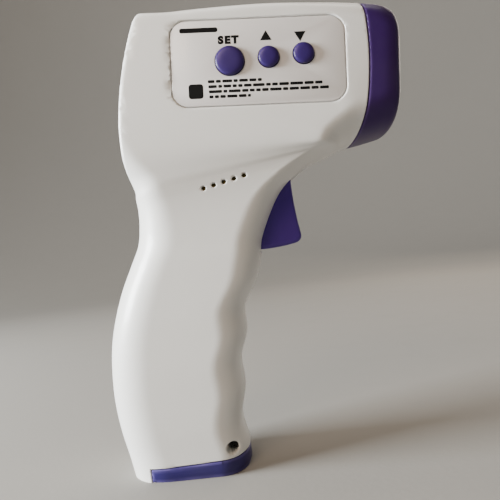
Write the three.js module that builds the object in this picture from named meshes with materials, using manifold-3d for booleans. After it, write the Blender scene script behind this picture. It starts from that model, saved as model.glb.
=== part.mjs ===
// Infrared forehead thermometer: a pistol-grip instrument with a sensor in the nose, a display
// at the rear of the head, three keys on the right flank, a trigger and a battery handle.
// Frame: millimetres, +Z up, the nose points along +X, the right flank faces -Y, and the
// origin is the middle of the flat base of the handle.
import * as THREE from "three";
import { LoftGeometry } from "three/addons/geometries/LoftGeometry.js";
import { mergeVertices } from "three/addons/utils/BufferGeometryUtils.js";
import Module from "manifold-3d";

const wasm = await Module();
wasm.setup();

// ---------------------------------------------------------------- driving dimensions
const HANDLE_HEIGHT = 92; // base to the neck, where the head begins
const HEAD_HEIGHT = 61; // neck to the top of the head
const HEAD_LENGTH = 74.6; // base middle to the top of the nose seam
const HEAD_HALF_WIDTH = 21;
const HANDLE_HALF_WIDTH = 16.6;
const BASE_HALF_WIDTH = 14.2;
const WALL = 2;
const PARTING_GAP = 0.3; // between neighbouring housing pieces
const CLEARANCE = 0.3; // between a piece and the hole or seat it sits in

const DISPLAY_RADIUS = 115; // the rear rim is part of a cylinder lying across the head
const DISPLAY_RECESS = 1; // the bezel lies this far inside the rim
const BEZEL_THICKNESS = 3;
const WINDOW_WIDTH = 27;
const WINDOW_HEIGHT = 33;
const WINDOW_CORNER = 3;
const WINDOW_RECESS = 0.4; // below the face of the bezel
const WINDOW_THICKNESS = 1.4;
const LCD_THICKNESS = 2;
const LCD_MARGIN = 2; // the panel reaches this far past the window
const BACKLIGHT_THICKNESS = 2.4;
const LCD_BOARD_MARGIN = 4;
const RIBBON_WIDTH = 8;
const RIBBON_LOW = -12; // its lower edge, below the middle of the display
const BOARD_THICKNESS = 1.2;
const BOARD_Y = -9.6; // face of the main board that carries the switches
const BOARD_REAR_X = 18.5;
const BOARD_LENGTH = 36;
const BOARD_HEIGHT = 40;

const NOSE_DROOP = THREE.MathUtils.degToRad(9); // the seam and the sensor axis lean down
const NOSE_SEAM_HEIGHT = 45.3;
const SEAM_RADIUS = 102; // the seam bows forward
const SEAM_APEX_BELOW = 8; // its foremost point lies this far below the sensor axis
const RING_LENGTH = 11; // from the seam to the face of the ring on the sensor axis
const FUNNEL_MOUTH_RADIUS = 11.5;
const FUNNEL_THROAT_RADIUS = 5.6;
const FUNNEL_DEPTH = 17;
const FUNNEL_RECESS = 0.6;
const FUNNEL_WALL = 1.3;
const FUNNEL_TAIL = 4;
const SLEEVE_WALL = 0.4;
const SLEEVE_LENGTH = 13;
const SENSOR_BOARD_RADIUS = 7.4;
const CAN_RADIUS = 4.5;
const CAN_LENGTH = 4.5;
const CAN_WINDOW_RADIUS = 2.6;

const LABEL_X = 36;
const LABEL_BELOW_TOP = 21.6;
const LABEL_RECESS = 0.8;
const LABEL_THICKNESS = 0.3;
const LABEL_CORNER = 5;
const LABEL_LENGTH = 54.5;
const LABEL_HEIGHT = 26.8;
const LABEL_DROOP = THREE.MathUtils.degToRad(3.5);

const KEYS_BELOW_TOP = 20.6;
const SET_KEY_X = 27.1;
const UP_KEY_X = 39.4;
const DOWN_KEY_X = 50.4;
const KEY_TRAVEL = 0.6;
const KEY_PROUD = 1.2;
const SET_KEY_RADIUS = 4.5;
const ARROW_KEY_RADIUS = 3.25;
const KEY_FLANGE = 0.9;
const KEY_FLANGE_THICKNESS = 0.8;
const KEY_STEM_RADIUS = 1.5;
const SWITCH_SIZE = 6;
const SWITCH_HEIGHT = 3;
const SWITCH_PLUNGER_RADIUS = 1.7;
const SWITCH_PLUNGER_LENGTH = 0.8;

const TRIGGER_PIVOT_X = 36.8;
const TRIGGER_PIVOT_ABOVE_NECK = 3.4;
const TRIGGER_TRAVEL = 0.12; // radians
const TRIGGER_BACK_X = 29.5; // the face that meets the spring and the switch
const TRIGGER_HALF_WIDTH = 5.5;
const TRIGGER_EDGE = 1.4; // rounding along the edges of the finger face
const TRIGGER_PIN_RADIUS = 1.2;
const TRIGGER_SPRING_RADIUS = 2.2;
const SPRING_WIRE_RADIUS = 0.3;

const CELLS_X = -0.8; // middle of the pair of cells
const CELL_BOTTOM = 2.8;
const CELL_RADIUS = 5.25;
const CELL_LENGTH = 44.5;
const CELL_NUB_RADIUS = 1.9;
const CELL_NUB_LENGTH = 0.8;
const CELL_PITCH = 11.2;
const CELL_BOX_WALL = 1;
const CELL_BOX_BOTTOM = 6;
const CELL_BOX_TOP = CELL_BOTTOM + CELL_LENGTH + 4.7;
const COVER_HEIGHT_REAR = 4.5;
const COVER_HEIGHT_FRONT = 5.6;
const COVER_FLOOR = 1.8;
const COVER_REAR_X = -12.8;
const CONTACT_THICKNESS = 0.4;

const SCREW_SHANK_RADIUS = 1;
const SCREW_HEAD_RADIUS = 1.9;
const SCREW_HEAD_LENGTH = 1.6;
const SCREW_LENGTH = 14;
const BASE_SCREW_REACH = 7.8; // how far the tip passes the parting plane
const HEAD_SCREW_REACH = 2;
const BOARD_SCREW_LENGTH = 5.5;
const SCREW_HOLE_RADIUS = 2.1;
const BOSS_RADIUS = 3.1;
const PIN_POST_RADIUS = 2.8;
const SPEAKER_HOLE_RADIUS = 0.75;
const SPEAKER_HOLE_PITCH = 3.4;
const SPEAKER_HOLES = 5;
const BUZZER_X = 21.2;
const BUZZER_ABOVE_NECK = 3.4;
const BUZZER_RADIUS = 9;
const BUZZER_THICKNESS = 0.3;
const BUZZER_Y = 3.4 - HANDLE_HALF_WIDTH;
const LEAD_RADIUS = 0.65;

const FAR = 400; // size of the blocks that cut the housing
const NECK = HANDLE_HEIGHT;
const TOP = HANDLE_HEIGHT + HEAD_HEIGHT;

// ---------------------------------------------------------------- finishes
const finish = (color, roughness, metalness = 0) =>
  new THREE.MeshStandardMaterial({ color, roughness, metalness });
const FINISHES = {
  shell: finish(0xdcdcd6, 0.38),
  ring: finish(0x3a2560, 0.35),
  key: finish(0x4a3d84, 0.35),
  trigger: finish(0x47327a, 0.35),
  cover: finish(0x43387d, 0.35),
  label: finish(0xd2cfcc, 0.45),
  bezel: finish(0x3a2f66, 0.4),
  window: finish(0x1c2326, 0.1),
  lcd: finish(0x9fb09a, 0.2),
  light: finish(0xf2f2ea, 0.5),
  funnel: finish(0x1d1d22, 0.45),
  steel: finish(0xb9bcc0, 0.3, 1),
  gold: finish(0xc9a55a, 0.35, 1),
  board: finish(0x1f6b3f, 0.5),
  chip: finish(0x1a1a1c, 0.5),
  cell: finish(0x2f5d9a, 0.35, 0.4),
  inner: finish(0xe6e6e0, 0.6),
  brass: finish(0xc2a04c, 0.35, 1),
  ceramic: finish(0xe8e4da, 0.5),
  ribbon: finish(0xb3742c, 0.5),
  red: finish(0xb02a24, 0.5),
  black: finish(0x17171a, 0.5),
};

// ---------------------------------------------------------------- solids
// A closed three.js geometry as a solid, placed by an optional matrix.
function solid(geometry, matrix = new THREE.Matrix4()) {
  const bare = new THREE.BufferGeometry();
  const plain = geometry.index ? geometry.toNonIndexed() : geometry;
  bare.setAttribute("position", plain.getAttribute("position").clone());
  bare.applyMatrix4(matrix);
  const merged = mergeVertices(bare, 1e-4);
  const index = merged.index.array;
  const triVerts = [];
  for (let i = 0; i < index.length; i += 3) {
    const [a, b, c] = index.subarray(i, i + 3);
    if (a !== b && b !== c && c !== a) triVerts.push(a, b, c); // a closed-up corner has no face
  }
  return new wasm.Manifold(
    new wasm.Mesh({
      numProp: 3,
      vertProperties: merged.getAttribute("position").array,
      triVerts: new Uint32Array(triVerts),
    }),
  );
}

function geometryOf(manifold) {
  const mesh = manifold.getMesh();
  const geometry = new THREE.BufferGeometry();
  geometry.setAttribute("position", new THREE.BufferAttribute(mesh.vertProperties, 3));
  geometry.setIndex(new THREE.BufferAttribute(mesh.triVerts, 1));
  geometry.computeVertexNormals();
  return geometry;
}

function place(x, y, z, turnY = 0) {
  return new THREE.Matrix4().makeRotationY(turnY).setPosition(x, y, z);
}

// A piece of the thermometer: a solid or a geometry as a named mesh in its group.
function piece(group, name, shape, material, x = 0, y = 0, z = 0) {
  const geometry = shape.isBufferGeometry ? shape : geometryOf(shape);
  const mesh = new THREE.Mesh(geometry, material);
  mesh.name = name;
  mesh.position.set(x, y, z);
  group.add(mesh);
  return mesh;
}

const box = (x, y, z, cx = 0, cy = 0, cz = 0) =>
  solid(new THREE.BoxGeometry(x, y, z), place(cx, cy, cz));

// A round bar along Y from y0 to y1.
function barY(radius, y0, y1, x, z, sides = 16) {
  const bar = new THREE.CylinderGeometry(radius, radius, y1 - y0, sides);
  return solid(bar, place(x, (y0 + y1) / 2, z));
}

function roundedRectangle(width, height, corner) {
  const w = width / 2 - corner;
  const h = height / 2 - corner;
  const shape = new THREE.Shape();
  shape.absarc(w, h, corner, 0, Math.PI / 2);
  shape.absarc(-w, h, corner, Math.PI / 2, Math.PI);
  shape.absarc(-w, -h, corner, Math.PI, 1.5 * Math.PI);
  shape.absarc(w, -h, corner, 1.5 * Math.PI, 2 * Math.PI);
  return shape;
}

// A flat outline drawn in X and Z, as a plate from y0 to y1.
function plateXZ(shape, y0, y1, steps = 4) {
  const plate = new THREE.ExtrudeGeometry(shape, {
    depth: y1 - y0,
    bevelEnabled: false,
    curveSegments: steps,
  });
  return plate.rotateX(Math.PI / 2).translate(0, y1, 0);
}

// A flat outline drawn in Y and Z, as a plate from x0 to x1.
function plateYZ(shape, x0, x1, steps = 4) {
  const plate = new THREE.ExtrudeGeometry(shape, {
    depth: x1 - x0,
    bevelEnabled: false,
    curveSegments: steps,
  });
  return plate.rotateX(Math.PI / 2).rotateZ(Math.PI / 2).translate(x0, 0, 0);
}

// A turned piece on the X axis, from [x, radius] points.
function turnedX(points, sides = 24) {
  const profile = points.map(([x, radius]) => new THREE.Vector2(radius, x));
  return new THREE.LatheGeometry(profile, sides).rotateZ(-Math.PI / 2);
}

// A turned piece on the Y axis, from [y, radius] points.
function turnedY(points, sides = 32) {
  const profile = points.map(([y, radius]) => new THREE.Vector2(radius, y));
  return new THREE.LatheGeometry(profile, sides);
}

function circle(radius) {
  const shape = new THREE.Shape();
  shape.absarc(0, 0, radius, 0, 2 * Math.PI);
  return shape;
}

function tube(curve, radius, steps, sides = 8) {
  return new THREE.ExtrudeGeometry(circle(radius), {
    extrudePath: curve,
    steps,
    curveSegments: sides / 2,
    bevelEnabled: false,
  });
}

function lead(points, radius = LEAD_RADIUS) {
  const route = new THREE.CatmullRomCurve3(points.map((p) => new THREE.Vector3(...p)));
  return tube(route, radius, 4 * (points.length - 1));
}

class Helix extends THREE.Curve {
  constructor(radius, length, turns) {
    super();
    this.radius = radius;
    this.length = length;
    this.turns = turns;
  }

  getPoint(t, target = new THREE.Vector3()) {
    const angle = 2 * Math.PI * this.turns * t;
    return target.set(
      this.length * t,
      this.radius * Math.cos(angle),
      this.radius * Math.sin(angle),
    );
  }
}

// ---------------------------------------------------------------- body surface
// Each station is a flat section across the body: its back and front points in X and Z, its
// half width, and how far its two ends take to round over. The handle's sections lie level,
// and the head's fan round the underside of the nose.
const NOSE_TOP_DROP = 2.2; // the head is this much lower at its seam than at its highest
const SEAM_TOP = new THREE.Vector2(HEAD_LENGTH, TOP - NOSE_TOP_DROP);
const NOSE = place(
  SEAM_TOP.x - (NOSE_SEAM_HEIGHT / 2) * Math.sin(NOSE_DROOP),
  0,
  SEAM_TOP.y - (NOSE_SEAM_HEIGHT / 2) * Math.cos(NOSE_DROOP),
  NOSE_DROOP,
);
const seamHalf = NOSE_SEAM_HEIGHT / 2;
const inNose = (x, z) => {
  const point = new THREE.Vector3(x, 0, z).applyMatrix4(NOSE);
  return [point.x, point.z];
};
const handleZ = (share) => share * HANDLE_HEIGHT;
const headX = (share) => share * HEAD_LENGTH;
const handleStations = [
  { up: -0.1, back: -18.9, front: 20.2, width: 0 },
  { up: 0.063, back: -21.7, front: 20.4, width: 0.05 },
  { up: 0.174, back: -23.8, front: 18.8, width: 0.3 },
  { up: 0.283, back: -24.9, front: 20.9, width: 0.5 },
  { up: 0.391, back: -24.8, front: 20.5, width: 0.7 },
  { up: 0.489, back: -23.9, front: 23.4, width: 0.8 },
  { up: 0.587, back: -21.7, front: 23.7, width: 0.9 },
  { up: 0.685, back: -18.5, front: 28.7, width: 0.95 },
  { up: 0.772, back: -14.7, front: 31.2, width: 1 },
  { up: 0.848, back: -11.4, front: 32.9, width: 1 },
].map(({ up, back, front, width }) => ({
  back: [back, handleZ(up)],
  front: [front, handleZ(up)],
  half: THREE.MathUtils.lerp(BASE_HALF_WIDTH, HANDLE_HALF_WIDTH, width),
  roundBack: 15,
  roundFront: 10.5,
}));
const crease = (share) => THREE.MathUtils.lerp(HANDLE_HALF_WIDTH, HEAD_HALF_WIDTH, share);
// The half width grows slowly from the handle's to the head's, so the head swells out softly.
const headStations = [
  { back: [-10.2, NECK - 8], front: [39.6, NECK - 1.1], half: crease(0.1), ends: [14, 11] },
  { back: [-9.9, NECK - 3], front: [48, NECK + 6.6], half: crease(0.24), ends: [13, 10] },
  { back: [-10.1, NECK + 1], front: [headX(0.748), NECK + 11], half: crease(0.42), ends: [12, 9] },
  { back: [-11.2, NECK + 6], front: [headX(0.8), NECK + 12.1], half: crease(0.64), ends: [12, 9] },
  { back: [-20, NECK + 17], front: [headX(0.81), NECK + 12.3], half: crease(0.93), ends: [14, 9] },
  { back: [-24, NECK + 40], front: [headX(0.82), NECK + 12.6], half: crease(1), ends: [12, 9] },
  { back: [-14, TOP - 1], front: [headX(0.83), NECK + 12.8], half: crease(1), ends: [11, 9] },
  { back: [8, TOP + 0.5], front: [headX(0.842), NECK + 13.1], half: crease(1), ends: [9.4, 9] },
  { back: [headX(0.48), TOP + 0.3], front: [headX(0.855), NECK + 13.4], half: crease(1), ends: [7.4, 9] },
  { back: [headX(0.76), TOP - 0.8], front: [headX(0.876), NECK + 13.9], half: crease(1), ends: [8, 10] },
  { back: [headX(1), TOP - NOSE_TOP_DROP], front: inNose(0, -seamHalf), half: crease(0.9), ends: [10, 11] },
].map(({ back, front, half, ends }) => ({
  back,
  front,
  half,
  roundBack: ends[0],
  roundFront: ends[1],
}));
const noseStations = [
  { back: [0.54 * RING_LENGTH, -0.5], front: [0.63 * RING_LENGTH, 2.3], inset: 0.6 },
  { back: [RING_LENGTH - 2.9, -2.3], front: [RING_LENGTH - 0.2, 4.2], inset: 2.2 },
  { back: [RING_LENGTH - 1.1, -5.7], front: [RING_LENGTH + 1.1, 8.1], inset: 5.7 },
].map(({ back, front, inset }) => ({
  back: inNose(back[0], seamHalf + back[1]),
  front: inNose(front[0], front[1] - seamHalf),
  half: crease(0.9) - inset,
  roundBack: 12 - inset / 2,
  roundFront: 12 - inset / 2,
}));
const STATIONS = [...handleStations, ...headStations, ...noseStations];
const INNER_END = (STATIONS.length - noseStations.length) / (STATIONS.length - 1);
const BULGE = 2.3; // exponent of the rounded ends of a section

const rail = (end) => new THREE.SplineCurve(STATIONS.map((s) => new THREE.Vector2(...s[end])));
const BACK_RAIL = rail("back");
const FRONT_RAIL = rail("front");
const MEASURES = new THREE.SplineCurve(
  STATIONS.map((s, i) => new THREE.Vector2(i, s.half)),
);
const ROUNDING = new THREE.SplineCurve(
  STATIONS.map((s) => new THREE.Vector2(s.roundBack, s.roundFront)),
);

// The section at t (0 at the base, 1 at the nose), drawn in from the outside by inset.
function section(t, inset, steps) {
  const back = BACK_RAIL.getPoint(t);
  const front = FRONT_RAIL.getPoint(t);
  const across = front.clone().sub(back).normalize();
  const backTangent = BACK_RAIL.getTangent(t);
  const frontTangent = FRONT_RAIL.getTangent(t);
  const backSlope = Math.max(0.35, backTangent.y * across.x - backTangent.x * across.y);
  const frontSlope = Math.max(0.35, frontTangent.y * across.x - frontTangent.x * across.y);
  const rounding = ROUNDING.getPoint(t);
  const half = MEASURES.getPoint(t).y - inset;
  const backInner = back.clone().addScaledVector(across, rounding.x);
  const frontInner = front.clone().addScaledVector(across, -rounding.y);
  back.addScaledVector(across, inset / backSlope);
  front.addScaledVector(across, -inset / frontSlope);

  const side = [];
  for (let i = 0; i < steps; i++) {
    const angle = (i / steps) * (Math.PI / 2);
    const reach = 1 - Math.cos(angle) ** (2 / BULGE);
    side.push([back.clone().lerp(backInner, reach), half * Math.sin(angle) ** (2 / BULGE)]);
  }
  side.push([backInner, half]);
  for (let i = 0; i < steps; i++) {
    const angle = (1 - i / steps) * (Math.PI / 2);
    const reach = 1 - Math.cos(angle) ** (2 / BULGE);
    side.push([front.clone().lerp(frontInner, reach), half * Math.sin(angle) ** (2 / BULGE)]);
  }
  side.push([front, 0]);
  const points = side.map(([p, y]) => new THREE.Vector3(p.x, y, p.y));
  const mirrored = side.slice(1, -1).reverse();
  return [...points, ...mirrored.map(([p, y]) => new THREE.Vector3(p.x, -y, p.y))].reverse();
}

function bodyLoft(inset, end = 1) {
  const rings = inset ? 1 : 2; // sections to a station
  const steps = inset ? 5 : 6; // sides to a rounded end
  const count = Math.round(end * (STATIONS.length - 1) * rings);
  const sections = [];
  for (let i = 0; i <= count; i++) sections.push(section((end * i) / count, inset, steps));
  const closed = [shrunk(sections[0]), ...sections, shrunk(sections[count])];
  return solid(new LoftGeometry(closed));
}

// A section drawn together to its middle, which closes the end of the loft.
function shrunk(points) {
  const middle = new THREE.Box3().setFromPoints(points).getCenter(new THREE.Vector3());
  return points.map(() => middle);
}

// ---------------------------------------------------------------- frames and cutters
const DISPLAY_LOW = new THREE.Vector2(-10.4, NECK + 10);
const DISPLAY_HIGH = new THREE.Vector2(-0.5, TOP - 0.8);
const displayMiddle = DISPLAY_LOW.clone().lerp(DISPLAY_HIGH, 0.5);
const displayChord = DISPLAY_LOW.distanceTo(DISPLAY_HIGH);
const displayTilt = Math.atan2(DISPLAY_HIGH.x - DISPLAY_LOW.x, DISPLAY_HIGH.y - DISPLAY_LOW.y);
const displayCentre = Math.sqrt(DISPLAY_RADIUS ** 2 - (displayChord / 2) ** 2);
const DISPLAY = place(displayMiddle.x, 0, displayMiddle.y, displayTilt);
const LABEL_TURN = place(LABEL_X, 0, TOP - LABEL_BELOW_TOP, LABEL_DROOP);
const KEY_Z = TOP - KEYS_BELOW_TOP;
const PIVOT_Z = NECK + TRIGGER_PIVOT_ABOVE_NECK;

// The cylinder of the display face, made smaller by depth.
function displayCylinder(depth) {
  const radius = DISPLAY_RADIUS - depth;
  const cylinder = new THREE.CylinderGeometry(radius, radius, FAR, 160);
  return solid(cylinder, DISPLAY.clone().multiply(place(displayCentre, 0, 0)));
}

// A plate or prism through the display face, drawn in the display's own frame.
function displayPrism(width, height, corner, x0, x1) {
  return solid(plateYZ(roundedRectangle(width, height, corner), x0, x1), DISPLAY);
}

const DISPLAY_CUT_LOW = NECK + 4;
const rearRoom = box(FAR, FAR, FAR, displayMiddle.x, 0, DISPLAY_CUT_LOW + FAR / 2);
const behindDisplay = rearRoom.subtract(displayCylinder(0));

// Everything in front of the bowed seam, moved x ahead along the nose.
function ahead(x) {
  const room = new THREE.BoxGeometry(FAR, FAR, 2 * NOSE_SEAM_HEIGHT);
  room.translate(FAR / 2 - SEAM_RADIUS / 2, 0, 0);
  const drum = new THREE.CylinderGeometry(SEAM_RADIUS, SEAM_RADIUS, FAR, 160);
  drum.translate(x - SEAM_RADIUS, 0, -SEAM_APEX_BELOW);
  return solid(room, NOSE).subtract(solid(drum, NOSE));
}
const aboveFloor = box(FAR, FAR, FAR, 0, 0, COVER_FLOOR + FAR / 2);
const aboveGround = box(FAR, FAR, FAR, 0, 0, FAR / 2);

// The room of the battery cover, drawn in by gap.
function coverRoom(gap) {
  const rise = (COVER_HEIGHT_FRONT - COVER_HEIGHT_REAR) / (handleStations[0].front[0] - COVER_REAR_X);
  const shape = new THREE.Shape();
  shape.moveTo(COVER_REAR_X + gap, -FAR / 8);
  shape.lineTo(FAR / 8, -FAR / 8);
  shape.lineTo(FAR / 8, COVER_HEIGHT_REAR - gap + rise * (FAR / 8 - COVER_REAR_X));
  shape.lineTo(COVER_REAR_X + gap, COVER_HEIGHT_REAR - gap);
  return solid(plateXZ(shape, -FAR / 8, FAR / 8));
}

// ---------------------------------------------------------------- housing
const outer = bodyLoft(0);
const core = bodyLoft(WALL / 2); // where posts may stand
const inner = bodyLoft(WALL, INNER_END);
const inside = inner.intersect(aboveFloor);

const KEYS = [
  { name: "set", x: SET_KEY_X, radius: SET_KEY_RADIUS },
  { name: "up", x: UP_KEY_X, radius: ARROW_KEY_RADIUS },
  { name: "down", x: DOWN_KEY_X, radius: ARROW_KEY_RADIUS },
];
const FRONT_SCREW_X = HEAD_LENGTH + 0.7 - FUNNEL_DEPTH; // behind the funnel
const SCREWS = [
  { name: "base_screw", x: 15, z: 8.6, seat: BASE_SCREW_REACH - SCREW_LENGTH },
  { name: "head_screw_rear", x: 13.5, z: TOP - 28, seat: HEAD_SCREW_REACH - SCREW_LENGTH },
  { name: "head_screw_front", x: FRONT_SCREW_X, z: TOP - 13.5, seat: HEAD_SCREW_REACH - SCREW_LENGTH },
];
const BOARD_LOW = NECK + 12.5;
const BOARD_SCREWS = [
  { name: "board_screw_high", x: BOARD_REAR_X + 3, z: BOARD_LOW + BOARD_HEIGHT - 3 },
  { name: "board_screw_low", x: BOARD_REAR_X + BOARD_LENGTH - 3, z: BOARD_LOW + 3 },
];
const pinReach = TRIGGER_HALF_WIDTH + 3.2;

// What the two shells have in common; side is -1 for the right one and 1 for the left one.
function shell(side) {
  const half = FAR / 2;
  const sideRoom = box(FAR, FAR, FAR, 0, side * (half + PARTING_GAP / 2), 0);
  const wide = HEAD_HALF_WIDTH;
  const bar = (radius, from, to, x, z) =>
    side < 0 ? barY(radius, -to, -from, x, z) : barY(radius, from, to, x, z);

  let posts = bar(PIN_POST_RADIUS, TRIGGER_HALF_WIDTH + 0.8, wide, TRIGGER_PIVOT_X, PIVOT_Z);
  for (const { x, z } of SCREWS) posts = posts.add(bar(BOSS_RADIUS, 0, wide, x, z));
  if (side < 0) {
    for (const { x, z } of BOARD_SCREWS) {
      posts = posts.add(barY(2.4, -wide, BOARD_Y - CLEARANCE, x, z));
    }
    const seat = barY(BUZZER_RADIUS + 1.3, -wide, BUZZER_Y - 0.3, BUZZER_X, NECK + BUZZER_ABOVE_NECK);
    const chamber = barY(BUZZER_RADIUS - 0.6, -wide, BUZZER_Y, BUZZER_X, NECK + BUZZER_ABOVE_NECK);
    posts = posts.add(seat.subtract(chamber));
  }
  posts = posts.intersect(core);

  let body = outer.subtract(inside).add(posts);
  body = body.intersect(aboveGround).intersect(sideRoom);
  body = body.subtract(behindDisplay).subtract(ahead(0)).subtract(coverRoom(0));

  const labelGap = 2 * CLEARANCE;
  const outline = roundedRectangle(
    LABEL_LENGTH + labelGap,
    LABEL_HEIGHT + labelGap,
    LABEL_CORNER + CLEARANCE,
  );
  const floor = HEAD_HALF_WIDTH - LABEL_RECESS;
  const outside = (side * FAR) / 8;
  const recess = plateXZ(outline, Math.min(side * floor, outside), Math.max(side * floor, outside));
  body = body.subtract(solid(recess, LABEL_TURN));

  const slotHalf = TRIGGER_HALF_WIDTH + 0.4;
  const slotFront = 44.4;
  const slotBack = TRIGGER_BACK_X - 3.5;
  const slotLow = NECK - 19.8;
  const slot = box(
    slotFront - slotBack,
    2 * slotHalf,
    PIVOT_Z + 4.6 - slotLow,
    (slotFront + slotBack) / 2,
    0,
    (slotLow + PIVOT_Z + 4.6) / 2,
  );
  body = body.subtract(slot);
  const pinBore = bar(TRIGGER_PIN_RADIUS + CLEARANCE, 0, pinReach + CLEARANCE, TRIGGER_PIVOT_X, PIVOT_Z);
  body = body.subtract(pinBore);
  for (const { x, z, seat } of SCREWS) {
    const bore = SCREW_SHANK_RADIUS + CLEARANCE;
    if (side < 0) {
      body = body.subtract(barY(bore, seat - 1, 1, x, z));
      body = body.subtract(barY(SCREW_HOLE_RADIUS, -FAR / 8, seat, x, z));
    } else {
      body = body.subtract(barY(bore, -1, seat + SCREW_LENGTH + 0.6, x, z));
    }
  }
  return body;
}

function rightShell() {
  let body = shell(-1);
  for (const { x, radius } of KEYS) {
    body = body.subtract(barY(radius + CLEARANCE, -FAR / 8, BOARD_Y, x, KEY_Z, 28));
  }
  for (const { x, z } of BOARD_SCREWS) {
    body = body.subtract(barY(SCREW_SHANK_RADIUS + CLEARANCE, BOARD_Y - 6, BOARD_Y, x, z));
  }
  for (let i = 0; i < SPEAKER_HOLES; i++) {
    const step = i - (SPEAKER_HOLES - 1) / 2;
    const x = BUZZER_X + step * SPEAKER_HOLE_PITCH * Math.cos(0.21);
    const z = NECK + BUZZER_ABOVE_NECK + step * SPEAKER_HOLE_PITCH * Math.sin(0.21);
    body = body.subtract(barY(SPEAKER_HOLE_RADIUS, -FAR / 8, BUZZER_Y - 1, x, z, 12));
  }
  return body;
}

const thermometer = new THREE.Group();
piece(thermometer, "right_shell", rightShell(), FINISHES.shell);
piece(thermometer, "left_shell", shell(1), FINISHES.shell);

// ---------------------------------------------------------------- nose
function noseRing() {
  const bore = FUNNEL_MOUTH_RADIUS + FUNNEL_WALL + CLEARANCE;
  const hole = turnedX([[-FAR / 8, 0], [-FAR / 8, bore], [FAR / 8, bore], [FAR / 8, 0]], 32);
  return outer.intersect(ahead(PARTING_GAP)).subtract(solid(hole, NOSE));
}
piece(thermometer, "nose_ring", noseRing(), FINISHES.ring);

const nose = new THREE.Group();
nose.applyMatrix4(NOSE);
thermometer.add(nose);
const mouthX = RING_LENGTH - FUNNEL_RECESS;
const throatX = mouthX - FUNNEL_DEPTH;
const funnelTail = throatX - FUNNEL_TAIL;
const funnelProfile = [
  [mouthX, FUNNEL_MOUTH_RADIUS],
  [mouthX - 0.4 * FUNNEL_DEPTH, FUNNEL_MOUTH_RADIUS - 1.8],
  [throatX, FUNNEL_THROAT_RADIUS],
  [funnelTail, FUNNEL_THROAT_RADIUS],
  [funnelTail, FUNNEL_THROAT_RADIUS + FUNNEL_WALL],
  [throatX, FUNNEL_THROAT_RADIUS + FUNNEL_WALL],
  [mouthX - 0.4 * FUNNEL_DEPTH, FUNNEL_MOUTH_RADIUS + FUNNEL_WALL - 1.8],
  [mouthX - 1.5, FUNNEL_MOUTH_RADIUS + FUNNEL_WALL],
  [mouthX, FUNNEL_MOUTH_RADIUS + FUNNEL_WALL],
  [mouthX, FUNNEL_MOUTH_RADIUS],
];
piece(nose, "sensor_funnel", solid(turnedX(funnelProfile, 32)), FINISHES.funnel);

const sleeveRadius = FUNNEL_THROAT_RADIUS - CLEARANCE;
const sleeveFront = throatX + 1;
const sleeveBack = sleeveFront - SLEEVE_LENGTH;
const sleeveProfile = [
  [sleeveFront, sleeveRadius - SLEEVE_WALL],
  [sleeveBack, sleeveRadius - SLEEVE_WALL],
  [sleeveBack, sleeveRadius],
  [sleeveFront, sleeveRadius],
  [sleeveFront, sleeveRadius - SLEEVE_WALL],
];
piece(nose, "sensor_sleeve", solid(turnedX(sleeveProfile)), FINISHES.steel);

const canFront = throatX - 1.5;
const canBack = canFront - CAN_LENGTH;
function thermopileCan() {
  const profile = [[canBack, 0], [canBack, CAN_RADIUS], [canFront, CAN_RADIUS], [canFront, 0]];
  let can = solid(turnedX(profile));
  const pinLength = canBack - sleeveBack;
  for (let i = 0; i < 4; i++) {
    const angle = (i + 0.5) * (Math.PI / 2);
    const pin = new THREE.CylinderGeometry(0.25, 0.25, pinLength + 0.4, 8).rotateZ(Math.PI / 2);
    pin.translate(canBack - pinLength / 2 + 0.2, 2.5 * Math.cos(angle), 2.5 * Math.sin(angle));
    can = can.add(solid(pin));
  }
  return can;
}
piece(nose, "thermopile_can", thermopileCan(), FINISHES.steel);
piece(
  nose,
  "thermopile_window",
  new THREE.CylinderGeometry(CAN_WINDOW_RADIUS, CAN_WINDOW_RADIUS, 0.4, 24).rotateZ(Math.PI / 2),
  FINISHES.window,
  canFront + CLEARANCE + 0.2,
);
piece(
  nose,
  "sensor_board",
  plateYZ(circle(SENSOR_BOARD_RADIUS), -BOARD_THICKNESS, 0, 6),
  FINISHES.board,
  sleeveBack - CLEARANCE,
);

// ---------------------------------------------------------------- display
function displayBezel() {
  const space = bodyLoft(WALL + CLEARANCE, INNER_END);
  const face = displayCylinder(DISPLAY_RECESS);
  const back = displayCylinder(DISPLAY_RECESS + BEZEL_THICKNESS);
  const pocketDepth = DISPLAY_RECESS + WINDOW_RECESS + WINDOW_THICKNESS + CLEARANCE;
  const front = box(FAR, FAR, FAR, displayMiddle.x + 20 - FAR / 2, 0, DISPLAY_LOW.y - 1.5 + FAR / 2);
  const plate = space.intersect(face).intersect(front).subtract(back);
  const seat = displayPrism(
    WINDOW_WIDTH + 2 * CLEARANCE,
    WINDOW_HEIGHT + 2 * CLEARANCE,
    WINDOW_CORNER + CLEARANCE,
    -20,
    20,
  );
  const pocket = seat.subtract(displayCylinder(pocketDepth));
  const view = displayPrism(WINDOW_WIDTH - 3, WINDOW_HEIGHT - 3, WINDOW_CORNER - 1, -20, 20);
  return plate.subtract(pocket).subtract(view);
}
piece(thermometer, "display_bezel", displayBezel(), FINISHES.bezel);

function displayWindow() {
  const face = displayCylinder(DISPLAY_RECESS + WINDOW_RECESS);
  const back = displayCylinder(DISPLAY_RECESS + WINDOW_RECESS + WINDOW_THICKNESS);
  return displayPrism(WINDOW_WIDTH, WINDOW_HEIGHT, WINDOW_CORNER, -20, 20).intersect(face).subtract(back);
}
piece(thermometer, "display_window", displayWindow(), FINISHES.window);

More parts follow.
